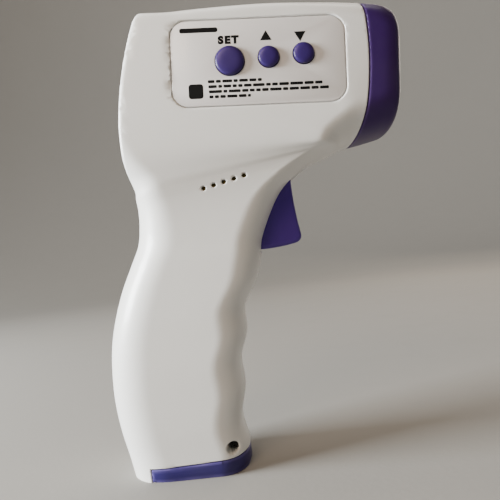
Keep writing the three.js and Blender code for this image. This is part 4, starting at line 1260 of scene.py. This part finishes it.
# ------------------------------------------------------------------ finishes
Colour = tuple[float, float, float]


class Pattern(Enum):
    """What a finish shows besides its texture and its drift."""

    NONE = 0
    TRACKS = 1
    BRUSHED = 2
    WRAP = 3
    PANEL = 4


@dataclass(frozen=True)
class Finish:
    """A moulded, printed or metal finish.

    Colours are linear. The grain is a fine moulding texture, the drift a slow change of tone over the piece.
    """

    name: str
    slot: str
    colour: Colour
    drift: Colour
    worn: Colour
    roughness: float = 0.4
    roughness_range: float = 0.08
    metallic: float = 0.0
    coat: float = 0.0
    specular: float = 0.5
    grain: float = 900.0
    grain_height: float = 0.00001
    ripple: float = 60.0
    ripple_height: float = 0.00002
    drift_scale: float = 22.0
    drift_amount: float = 0.5
    wear: float = 0.3
    dust: float = 0.1
    pattern: Pattern = Pattern.NONE
    transmission: float = 0.0


class Graph:
    """A node tree, with short calls for the nodes that the finishes use."""

    def __init__(self, tree: bpy.types.NodeTree) -> None:
        """Keeps the tree."""
        self.tree = tree

    def node(self, kind: str) -> bpy.types.Node:
        """A new shader node."""
        return self.tree.nodes.new("ShaderNode" + kind)

    def feed(self, socket: bpy.types.NodeSocket, value: object) -> None:
        """Gives an input its value.

        Args:
            socket: the input.
            value: a socket to link, a number, or a colour.
        """
        if isinstance(value, bpy.types.NodeSocket):
            self.tree.links.new(value, socket)
        else:
            socket.default_value = (*value, 1.0) if isinstance(value, tuple) else value

    def noise(self, vector: bpy.types.NodeSocket, scale: object, detail: float) -> bpy.types.NodeSocket:
        """The strength of a noise texture."""
        node = self.node("TexNoise")
        for name, value in (("Vector", vector), ("Scale", scale), ("Detail", detail)):
            self.feed(node.inputs[name], value)
        return node.outputs["Fac"]

    def maths(self, operation: str, *values: object) -> bpy.types.NodeSocket:
        """A maths operation on numbers and sockets."""
        node = self.node("Math")
        node.operation = operation
        for socket, value in zip(node.inputs, values):
            self.feed(socket, value)
        return node.outputs[0]

    def times(self, first: object, second: object) -> bpy.types.NodeSocket:
        """The product of two numbers or sockets."""
        return self.maths("MULTIPLY", first, second)

    def plus(self, first: object, second: object) -> bpy.types.NodeSocket:
        """The sum of two numbers or sockets."""
        return self.maths("ADD", first, second)

    def mix(self, share: object, first: object, second: object) -> bpy.types.NodeSocket:
        """A mix of two colours."""
        node = self.node("Mix")
        node.data_type = "RGBA"
        for index, value in ((0, share), (6, first), (7, second)):
            self.feed(node.inputs[index], value)
        return node.outputs[2]

    def ranged(self, value: object, low: float, high: float) -> bpy.types.NodeSocket:
        """A value stretched from low..high to 0..1 and held there."""
        node = self.node("MapRange")
        for name, given in (("Value", value), ("From Min", low), ("From Max", high)):
            self.feed(node.inputs[name], given)
        return node.outputs["Result"]

    def place(self, group: bpy.types.NodeTree, **values: object) -> bpy.types.Node:
        """A shared group with its inputs set.

        Args:
            group: the shared group.
            **values: input name, with underscores for spaces, to number, colour or socket.

        Returns:
            The group's node.
        """
        node = self.node("Group")
        node.node_tree = group
        for key, value in values.items():
            self.feed(node.inputs[key.replace("_", " ")], value)
        return node


def shared_group(name: str, inputs: Sequence[str], outputs: Sequence[str]) -> tuple:
    """An empty node group, whose sockets take their kind from their names.

    Args:
        name: its name.
        inputs: names of its inputs.
        outputs: names of its outputs.

    Returns:
        Its graph, the sockets that bring its values in, and those that take its results out.
    """
    tree = bpy.data.node_groups.new(name, "ShaderNodeTree")
    for way, labels in (("INPUT", inputs), ("OUTPUT", outputs)):
        for label in labels:
            kind = "Vector" if label == "Vector" else "Color" if label.endswith("Colour") else "Float"
            tree.interface.new_socket(name=label, in_out=way, socket_type="NodeSocket" + kind)
    start, end = tree.nodes.new("NodeGroupInput"), tree.nodes.new("NodeGroupOutput")
    return Graph(tree), start.outputs, end.inputs


class Workshop:
    """Builds the shared node groups once, and a material for each finish."""

    def __init__(self) -> None:
        """Makes the shared groups."""
        self.made: dict[str, bpy.types.Material] = {}
        self.texture = self.build_texture_group()
        self.drift = self.build_drift_group()
        self.wear = self.build_wear_group()
        self.dust = self.build_dust_group()

    def build_texture_group(self) -> bpy.types.NodeTree:
        """Moulding texture: fine grain over a slow ripple, as a height in metres."""
        inputs = ("Vector", "Grain Scale", "Grain Height", "Ripple Scale", "Ripple Height")
        graph, given, out = shared_group("Moulding Texture", inputs, ("Height",))
        grain = graph.noise(given["Vector"], given["Grain Scale"], 3)
        ripple = graph.noise(given["Vector"], given["Ripple Scale"], 1)
        fine = graph.times(grain, given["Grain Height"])
        slow = graph.times(ripple, given["Ripple Height"])
        graph.feed(out["Height"], graph.plus(fine, slow))
        return graph.tree

    def build_drift_group(self) -> bpy.types.NodeTree:
        """Tone drift: two colours mixed slowly over the piece, with faint cloudy flow marks."""
        inputs = ("Vector", "Colour", "Drift Colour", "Scale", "Amount")
        graph, given, out = shared_group("Tone Drift", inputs, ("Colour", "Mask"))
        slow = graph.noise(given["Vector"], given["Scale"], 2)
        cloud = graph.noise(given["Vector"], graph.times(given["Scale"], 9.0), 4)
        mask, mottle = graph.ranged(slow, 0.3, 0.7), graph.ranged(cloud, 0.3, 0.7)
        both = graph.plus(graph.times(mask, 0.75), graph.times(mottle, 0.25))
        share = graph.times(both, given["Amount"])
        graph.feed(out["Colour"], graph.mix(share, given["Colour"], given["Drift Colour"]))
        graph.feed(out["Mask"], both)
        return graph.tree

    def build_wear_group(self) -> bpy.types.NodeTree:
        """Edge wear: a worn colour along moulded rims, broken up by noise."""
        inputs = ("Vector", "Colour", "Worn Colour", "Rim", "Amount")
        graph, given, out = shared_group("Edge Wear", inputs, ("Colour",))
        broken = graph.ranged(graph.noise(given["Vector"], 140.0, 4), 0.25, 0.75)
        rim = graph.ranged(given["Rim"], 0.15, 0.95)
        mask = graph.times(rim, graph.plus(graph.times(broken, 0.7), 0.3))
        share = graph.times(mask, given["Amount"])
        graph.feed(out["Colour"], graph.mix(share, given["Colour"], given["Worn Colour"]))
        return graph.tree

    def build_dust_group(self) -> bpy.types.NodeTree:
        """Dust and handling: specks and faint smears that dull the surface."""
        inputs = ("Vector", "Colour", "Amount")
        graph, given, out = shared_group("Handling Marks", inputs, ("Colour", "Mask"))
        specks = graph.node("TexVoronoi")
        graph.feed(specks.inputs["Scale"], 420.0)
        graph.feed(specks.inputs["Vector"], given["Vector"])
        dots = graph.maths("LESS_THAN", specks.outputs["Distance"], 0.085)
        smears = graph.ranged(graph.noise(given["Vector"], 45.0, 5), 0.5, 0.8)
        mask = graph.plus(graph.times(dots, 0.5), graph.times(smears, 0.6))
        share = graph.times(mask, given["Amount"])
        dust_colour = (0.36, 0.34, 0.31)
        graph.feed(out["Colour"], graph.mix(share, given["Colour"], dust_colour))
        graph.feed(out["Mask"], mask)
        return graph.tree

    def patterned(
        self, graph: Graph, vector: bpy.types.NodeSocket, finish: Finish, colour: bpy.types.NodeSocket
    ) -> tuple[bpy.types.NodeSocket, Optional[bpy.types.NodeSocket]]:
        """The finish's own pattern over its colour.

        Args:
            graph: the material's graph.
            vector: object coordinates.
            finish: the finish.
            colour: the colour so far.

        Returns:
            The new colour, and a height where the pattern is raised.
        """
        if finish.pattern is Pattern.TRACKS:
            lines = graph.node("TexBrick")
            graph.feed(lines.inputs["Scale"], 220.0)
            graph.feed(lines.inputs["Mortar Size"], 0.09)
            graph.feed(lines.inputs["Vector"], vector)
            share = graph.times(lines.outputs["Fac"], 0.7)
            return graph.mix(share, colour, finish.worn), lines.outputs["Fac"]
        if finish.pattern is Pattern.BRUSHED:
            stretch = graph.node("Mapping")
            stretch.inputs["Scale"].default_value = (1.0, 1.0, 18.0)
            graph.feed(stretch.inputs["Vector"], vector)
            lines = graph.noise(stretch.outputs["Vector"], 500.0, 2)
            return graph.mix(graph.ranged(lines, 0.35, 0.7), colour, finish.drift), None
        if finish.pattern is Pattern.WRAP:
            split = graph.node("SeparateXYZ")
            graph.feed(split.inputs["Vector"], vector)
            band = graph.maths("GREATER_THAN", split.outputs["Z"], 0.036)
            return graph.mix(band, colour, finish.worn), None
        if finish.pattern is Pattern.PANEL:
            cells = graph.node("TexChecker")
            graph.feed(cells.inputs["Scale"], 3000.0)
            graph.feed(cells.inputs["Vector"], vector)
            return graph.mix(graph.times(cells.outputs["Fac"], 0.12), colour, finish.worn), None
        return colour, None

    def material(self, finish: Finish) -> bpy.types.Material:
        """The material of a finish, made once.

        Args:
            finish: its values.

        Returns:
            The material.
        """
        if finish.name in self.made:
            return self.made[finish.name]
        made = bpy.data.materials.new(finish.name)
        made.use_nodes = True
        made.node_tree.nodes.clear()
        graph = Graph(made.node_tree)
        shader, bump, rim = graph.node("BsdfPrincipled"), graph.node("Bump"), graph.node("Attribute")
        graph.feed(graph.node("OutputMaterial").inputs["Surface"], shader.outputs[0])
        place = graph.node("TexCoord").outputs["Object"]
        rim.attribute_name = "rim"
        texture = graph.place(
            self.texture, Vector=place, Grain_Scale=finish.grain, Grain_Height=finish.grain_height,
            Ripple_Scale=finish.ripple, Ripple_Height=finish.ripple_height,
        )
        drift = graph.place(
            self.drift, Vector=place, Colour=finish.colour, Drift_Colour=finish.drift,
            Scale=finish.drift_scale, Amount=finish.drift_amount,
        )
        colour, raised = self.patterned(graph, place, finish, drift.outputs["Colour"])
        worn = graph.place(
            self.wear, Vector=place, Colour=colour, Worn_Colour=finish.worn,
            Rim=rim.outputs["Fac"], Amount=finish.wear,
        )
        dusty = graph.place(self.dust, Vector=place, Colour=worn.outputs["Colour"], Amount=finish.dust)
        spread = graph.times(drift.outputs["Mask"], finish.roughness_range)
        dulled = graph.times(dusty.outputs["Mask"], 0.12)
        height = texture.outputs["Height"]
        if raised is not None:
            height = graph.plus(height, graph.times(raised, -0.00002))
        graph.feed(bump.inputs["Distance"], 1.0)
        graph.feed(bump.inputs["Height"], height)
        for name, value in (
            ("Base Color", dusty.outputs["Colour"]),
            ("Roughness", graph.plus(graph.plus(spread, dulled), finish.roughness)),
            ("Metallic", finish.metallic),
            ("Coat Weight", finish.coat),
            ("Specular IOR Level", finish.specular),
            ("Transmission Weight", finish.transmission),
            ("Normal", bump.outputs["Normal"]),
        ):
            graph.feed(shader.inputs[name], value)
        self.made[finish.name] = made
        return made

    def dress(self, obj: bpy.types.Object, finish: Finish) -> None:
        """Puts a finish on all of a piece's slots."""
        material = self.material(finish)
        if not obj.material_slots:
            obj.data.materials.append(material)
        for slot in obj.material_slots:
            slot.material = material


WHITE = Finish(
    "white satin shell", "white_plastic", (0.80, 0.79, 0.765), (0.76, 0.745, 0.715), (0.90, 0.89, 0.87),
    roughness=0.34, roughness_range=0.07, coat=0.12, grain_height=0.000006, ripple_height=0.00003,
    wear=0.45, dust=0.05,
)
RING = Finish(
    "dark violet ring", "purple_plastic", (0.034, 0.011, 0.092), (0.040, 0.013, 0.105), (0.13, 0.07, 0.26),
    roughness=0.38, specular=0.3, grain_height=0.000008, wear=0.5, dust=0.05,
)
LEVER = Finish(
    "violet trigger", "purple_plastic", (0.066, 0.026, 0.260), (0.056, 0.022, 0.22), (0.18, 0.11, 0.4),
    roughness=0.36, specular=0.35, grain_height=0.000008, dust=0.05,
)
COVER = Finish(
    "blue violet cover", "purple_plastic", (0.022, 0.013, 0.110), (0.018, 0.011, 0.094), (0.18, 0.14, 0.42),
    roughness=0.38, specular=0.35, grain_height=0.000008, wear=0.6, dust=0.06,
)
KEY = Finish(
    "violet key", "key_plastic", (0.030, 0.013, 0.110), (0.026, 0.011, 0.098), (0.2, 0.15, 0.4),
    roughness=0.34, specular=0.35, grain_height=0.000005, ripple_height=0.00001, dust=0.04,
)
FILM = Finish(
    "label film", "label_film", (0.72, 0.69, 0.675), (0.69, 0.655, 0.64), (0.9, 0.9, 0.88),
    roughness=0.3, coat=0.2, grain=2600.0, grain_height=0.000002, ripple=35.0, ripple_height=0.00004,
    dust=0.05,
)
INK = Finish(
    "dark print", "black_plastic", (0.004, 0.004, 0.004), (0.007, 0.007, 0.007), (0.05, 0.05, 0.05),
    roughness=0.6, specular=0.1, grain=3000.0, grain_height=0.000002, wear=0.1, dust=0.03,
)
BEZEL = Finish(
    "violet bezel", "purple_plastic", (0.055, 0.035, 0.15), (0.07, 0.045, 0.18), (0.2, 0.15, 0.4),
    roughness=0.42, grain=1400.0, grain_height=0.00002,
)
BLACK = Finish(
    "black plastic", "black_plastic", (0.014, 0.014, 0.016), (0.022, 0.022, 0.025), (0.08, 0.08, 0.09),
    roughness=0.42, grain=1300.0, grain_height=0.00002,
)
CHIP = Finish(
    "chip epoxy", "chip", (0.018, 0.018, 0.02), (0.03, 0.03, 0.032), (0.12, 0.12, 0.12),
    roughness=0.52, grain=2600.0, grain_height=0.00002,
)
STEEL = Finish(
    "bright steel", "steel", (0.60, 0.61, 0.63), (0.47, 0.48, 0.5), (0.75, 0.75, 0.76),
    roughness=0.24, metallic=1.0, grain_height=0.000004, pattern=Pattern.BRUSHED,
)
DULL = Finish(
    "blackened steel", "steel", (0.045, 0.043, 0.042), (0.03, 0.03, 0.032), (0.3, 0.3, 0.3),
    roughness=0.45, metallic=0.6, grain_height=0.000004, pattern=Pattern.BRUSHED,
)
BRASS = Finish(
    "sounder brass", "brass", (0.60, 0.42, 0.15), (0.5, 0.33, 0.11), (0.75, 0.6, 0.3),
    roughness=0.28, metallic=1.0, pattern=Pattern.BRUSHED,
)
CERAMIC = Finish(
    "white ceramic", "ceramic", (0.78, 0.75, 0.68), (0.70, 0.67, 0.6), (0.85, 0.82, 0.8),
    roughness=0.5,
)
BOARD = Finish(
    "green circuit board", "board", (0.012, 0.13, 0.045), (0.01, 0.10, 0.036), (0.03, 0.21, 0.08),
    roughness=0.36, coat=0.2, pattern=Pattern.TRACKS,
)
RIBBON = Finish(
    "amber ribbon", "ribbon", (0.45, 0.19, 0.035), (0.38, 0.15, 0.03), (0.6, 0.35, 0.1),
    roughness=0.34, pattern=Pattern.BRUSHED,
)
CELL = Finish(
    "cell wrap", "cell", (0.03, 0.09, 0.30), (0.025, 0.07, 0.25), (0.50, 0.36, 0.12),
    roughness=0.26, metallic=0.35, coat=0.3, pattern=Pattern.WRAP,
)
INNER = Finish(
    "natural holder plastic", "white_plastic", (0.74, 0.73, 0.68), (0.7, 0.68, 0.63), (0.85, 0.84, 0.8),
    roughness=0.5,
)
LCD = Finish(
    "display panel", "lcd", (0.27, 0.32, 0.25), (0.24, 0.29, 0.22), (0.2, 0.24, 0.19),
    roughness=0.2, grain_height=0.0, ripple_height=0.0, pattern=Pattern.PANEL, dust=0.0,
)
SEGMENT = Finish(
    "display segment", "lcd", (0.075, 0.09, 0.07), (0.085, 0.10, 0.08), (0.1, 0.1, 0.1), roughness=0.3,
    dust=0.0,
)
LIGHT = Finish(
    "display diffuser", "diffuser", (0.82, 0.82, 0.78), (0.78, 0.78, 0.73), (0.9, 0.9, 0.9),
    roughness=0.55,
)
GLASS = Finish(
    "clear window", "window", (0.90, 0.92, 0.93), (0.87, 0.9, 0.9), (1.0, 1.0, 1.0),
    roughness=0.05, roughness_range=0.03, grain_height=0.0, ripple_height=0.00001, transmission=1.0,
    dust=0.0, wear=0.0,
)
FILTER = Finish(
    "sensor filter", "window", (0.05, 0.035, 0.06), (0.06, 0.04, 0.08), (0.1, 0.1, 0.1),
    roughness=0.12, coat=0.5,
)
RED = Finish(
    "red jacket", "red_wire", (0.42, 0.02, 0.015), (0.34, 0.015, 0.012), (0.5, 0.1, 0.1),
    roughness=0.4,
)
DARK = Finish(
    "black jacket", "black_wire", (0.015, 0.015, 0.016), (0.025, 0.025, 0.026), (0.1, 0.1, 0.1),
    roughness=0.4,
)

PAPER = Finish(
    "pale backdrop", "stage", (0.235, 0.222, 0.203), (0.22, 0.208, 0.19), (0.5, 0.5, 0.5),
    roughness=0.8, grain=500.0, grain_height=0.00005, ripple=3.0, ripple_height=0.0, drift_scale=1.3,
    dust=0.0,
)

CARRIED: dict[Finish, tuple[str, ...]] = {
    STEEL: (
        "sensor_sleeve", "thermopile_can", "crystal", "trigger_pin", "positive_contact",
        "negative_contact", "bridge_contact", "head_screw_rear", "head_screw_front", "board_screw_high",
        "board_screw_low",
    ),
    FILTER: ("thermopile_window",),
    BOARD: ("sensor_board", "lcd_board", "main_board", "trigger_board"),
    BEZEL: ("display_bezel",),
    LCD: ("lcd_glass",),
    LIGHT: ("lcd_backlight",),
    RIBBON: ("lcd_ribbon",),
    CHIP: ("set_switch", "up_switch", "down_switch", "microcontroller", "memory_chip", "trigger_switch"),
    BLACK: ("capacitor",),
    BRASS: ("buzzer_disc",),
    CERAMIC: ("buzzer_ceramic",),
    CELL: ("battery_rear", "battery_front"),
    INNER: ("battery_box",),
    DULL: ("base_screw",),
    DARK: ("battery_lead_black", "trigger_lead"),
    RED: ("battery_lead_red", "sensor_lead", "buzzer_lead"),
}


# ------------------------------------------------------------------ studio
@dataclass
class Studio:
    """Camera, soft lights and a seamless pale stage."""

    eye: tuple[float, float, float] = (0.02724, -0.175, 0.07284)
    roll: float = 6.0
    lens: float = 35.46
    floor_radius: float = 0.8
    bowl_radius: float = 0.7
    wall_height: float = 1.6

    def build_camera(self) -> None:
        """The camera looks square at the right flank, rolled a little."""
        data = bpy.data.cameras.new("camera")
        data.lens = self.lens
        data.sensor_width = 36.0
        data.clip_start = 0.005
        camera = bpy.data.objects.new("camera", data)
        roll = math.radians(self.roll)
        right = Vector((math.cos(roll), 0, -math.sin(roll)))
        up = Vector((math.sin(roll), 0, math.cos(roll)))
        back = right.cross(up)
        turn = Matrix((right, up, back)).transposed().to_4x4()
        camera.matrix_world = Matrix.Translation(self.eye) @ turn
        bpy.context.scene.collection.objects.link(camera)
        bpy.context.scene.camera = camera

    def build_light(
        self, name: str, spot: Sequence[float], size: float, power: float, colour: Colour,
        aim: Sequence[float] = (0.02, 0, 0.08),
    ) -> None:
        """A soft square light.

        Args:
            name: its name.
            spot: its place in metres.
            size: its side in metres.
            power: in watts.
            colour: linear colour.
            aim: the point it faces.
        """
        data = bpy.data.lights.new(name, "AREA")
        data.size = size
        data.energy = power
        data.color = colour
        light = bpy.data.objects.new(name, data)
        light.visible_camera = False
        ray = Vector(aim) - Vector(spot)
        light.matrix_world = Matrix.Translation(spot) @ ray.to_track_quat("-Z", "Y").to_matrix().to_4x4()
        bpy.context.scene.collection.objects.link(light)

    def build_stage(self) -> None:
        """A round floor that curves up into a bowl, spun from its profile."""
        bm = bmesh.new()
        profile = [(0.0, 0.0)] + [(self.floor_radius * i / 6, 0.0) for i in range(1, 7)]
        for i in range(1, 13):
            angle = i / 12 * math.pi / 2
            out = self.floor_radius + self.bowl_radius * math.sin(angle)
            profile.append((out, self.bowl_radius * (1 - math.cos(angle))))
        profile.append((self.floor_radius + self.bowl_radius, self.wall_height))
        verts = [bm.verts.new((r, 0, z)) for r, z in profile]
        edges = [bm.edges.new(pair) for pair in zip(verts, verts[1:])]
        bmesh.ops.spin(
            bm, geom=verts + edges, cent=(0, 0, 0), axis=(0, 0, 1), angle=2 * math.pi, steps=96,
            use_merge=True,
        )
        bmesh.ops.remove_doubles(bm, verts=bm.verts, dist=1e-6)
        bmesh.ops.recalc_face_normals(bm, faces=bm.faces)
        bmesh.ops.reverse_faces(bm, faces=bm.faces)
        stage = Stock("stage", bm).finished("stage", 60)
        WORKSHOP.dress(stage, PAPER)

    def build_world(self) -> None:
        """An even, dim surround."""
        world = bpy.data.worlds.new("surround")
        world.use_nodes = True
        back = world.node_tree.nodes["Background"]
        back.inputs["Color"].default_value = (0.95, 0.80, 0.66, 1)
        back.inputs["Strength"].default_value = 0.035
        bpy.context.scene.world = world

    def build(self) -> None:
        """Sets up the whole studio."""
        self.build_camera()
        self.build_light("key", (-0.82, -0.15, 0.30), 0.36, 38.0, (0.93, 0.98, 1.0))
        self.build_light("fill", (-0.16, -0.36, 0.42), 0.22, 1.4, (1.0, 0.78, 0.58))
        self.build_light("back", (0.45, 0.65, 0.45), 0.5, 3.0, (1.0, 0.88, 0.74))
        self.build_light("wash", (0.1, 0.35, 1.3), 0.9, 12.0, (1.0, 0.94, 0.87), (0.0, 1.5, 0.35))
        self.build_stage()
        self.build_world()


WORKSHOP = Workshop()


def hand_in(obj: bpy.types.Object, finish: Finish, body: str, *nodes: str) -> None:
    """Dresses a new piece, puts it on its body, hides the CAD nodes it replaces and logs its faces and
    finish.

    Args:
        obj: the piece.
        finish: its finish.
        body: the body it rides on.
        *nodes: the CAD nodes it replaces.
    """
    WORKSHOP.dress(obj, finish)
    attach(obj, body)
    if nodes:
        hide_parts(*nodes)
    log.info("%s on %s: %d faces, %s", obj.name, body, len(obj.data.polygons), finish.name)


def inside_box(obj: bpy.types.Object) -> None:
    """Keeps a piece's points inside the CAD model's box."""
    low, high = np.array(CAD_BOX[0]), np.array(CAD_BOX[1])
    flat = np.empty(len(obj.data.vertices) * 3)
    obj.data.vertices.foreach_get("co", flat)
    held = np.clip(flat.reshape(-1, 3), low, high)
    obj.data.vertices.foreach_set("co", held.ravel())
    obj.data.update()


def main() -> None:
    """Builds and dresses every piece."""
    logging.basicConfig(level=logging.INFO, format="%(name)s: %(message)s")
    form = BodyForm()
    housing = Housing(form)
    for piece, finish, body, node in (
        (housing.build_shell(Side.RIGHT, "right_shell_skin"), WHITE, HOUSING, "right_shell"),
        (housing.build_shell(Side.LEFT, "left_shell_skin"), WHITE, HOUSING, "left_shell"),
        (housing.build_ring(), RING, HOUSING, "nose_ring"),
        (housing.build_cover(), COVER, "battery_cover", "battery_cover"),
    ):
        inside_box(piece)
        hand_in(piece, finish, body, node)
    housing.close()

    labels = Labels(housing)
    hand_in(labels.build_film(Side.RIGHT, "right_film"), FILM, HOUSING, "right_label")
    hand_in(labels.build_film(Side.LEFT, "left_film"), FILM, HOUSING, "left_label")
    hand_in(labels.build_print(), INK, HOUSING)

    keys = Keys()
    for node in KEYS:
        hand_in(keys.build(node), KEY, node, node)
    trigger = Trigger()
    hand_in(trigger.build(), LEVER, "trigger", "trigger")
    spring = trigger.build_spring()
    hand_in(spring, STEEL, HOUSING, "trigger_spring")
    low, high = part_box("trigger_spring")
    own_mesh(spring)
    hand_in(Nose(form).build_funnel(), BLACK, HOUSING, "sensor_funnel")
    display = Display(form)
    hand_in(display.build_window(), GLASS, HOUSING, "display_window")
    hand_in(display.build_segments(), SEGMENT, HOUSING)

    for finish, nodes in CARRIED.items():
        for node in nodes:
            WORKSHOP.dress(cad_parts[node], finish)
        log.info("%s on %s", finish.name, ", ".join(nodes))
    Studio().build()


if __name__ == "__main__":
    main()
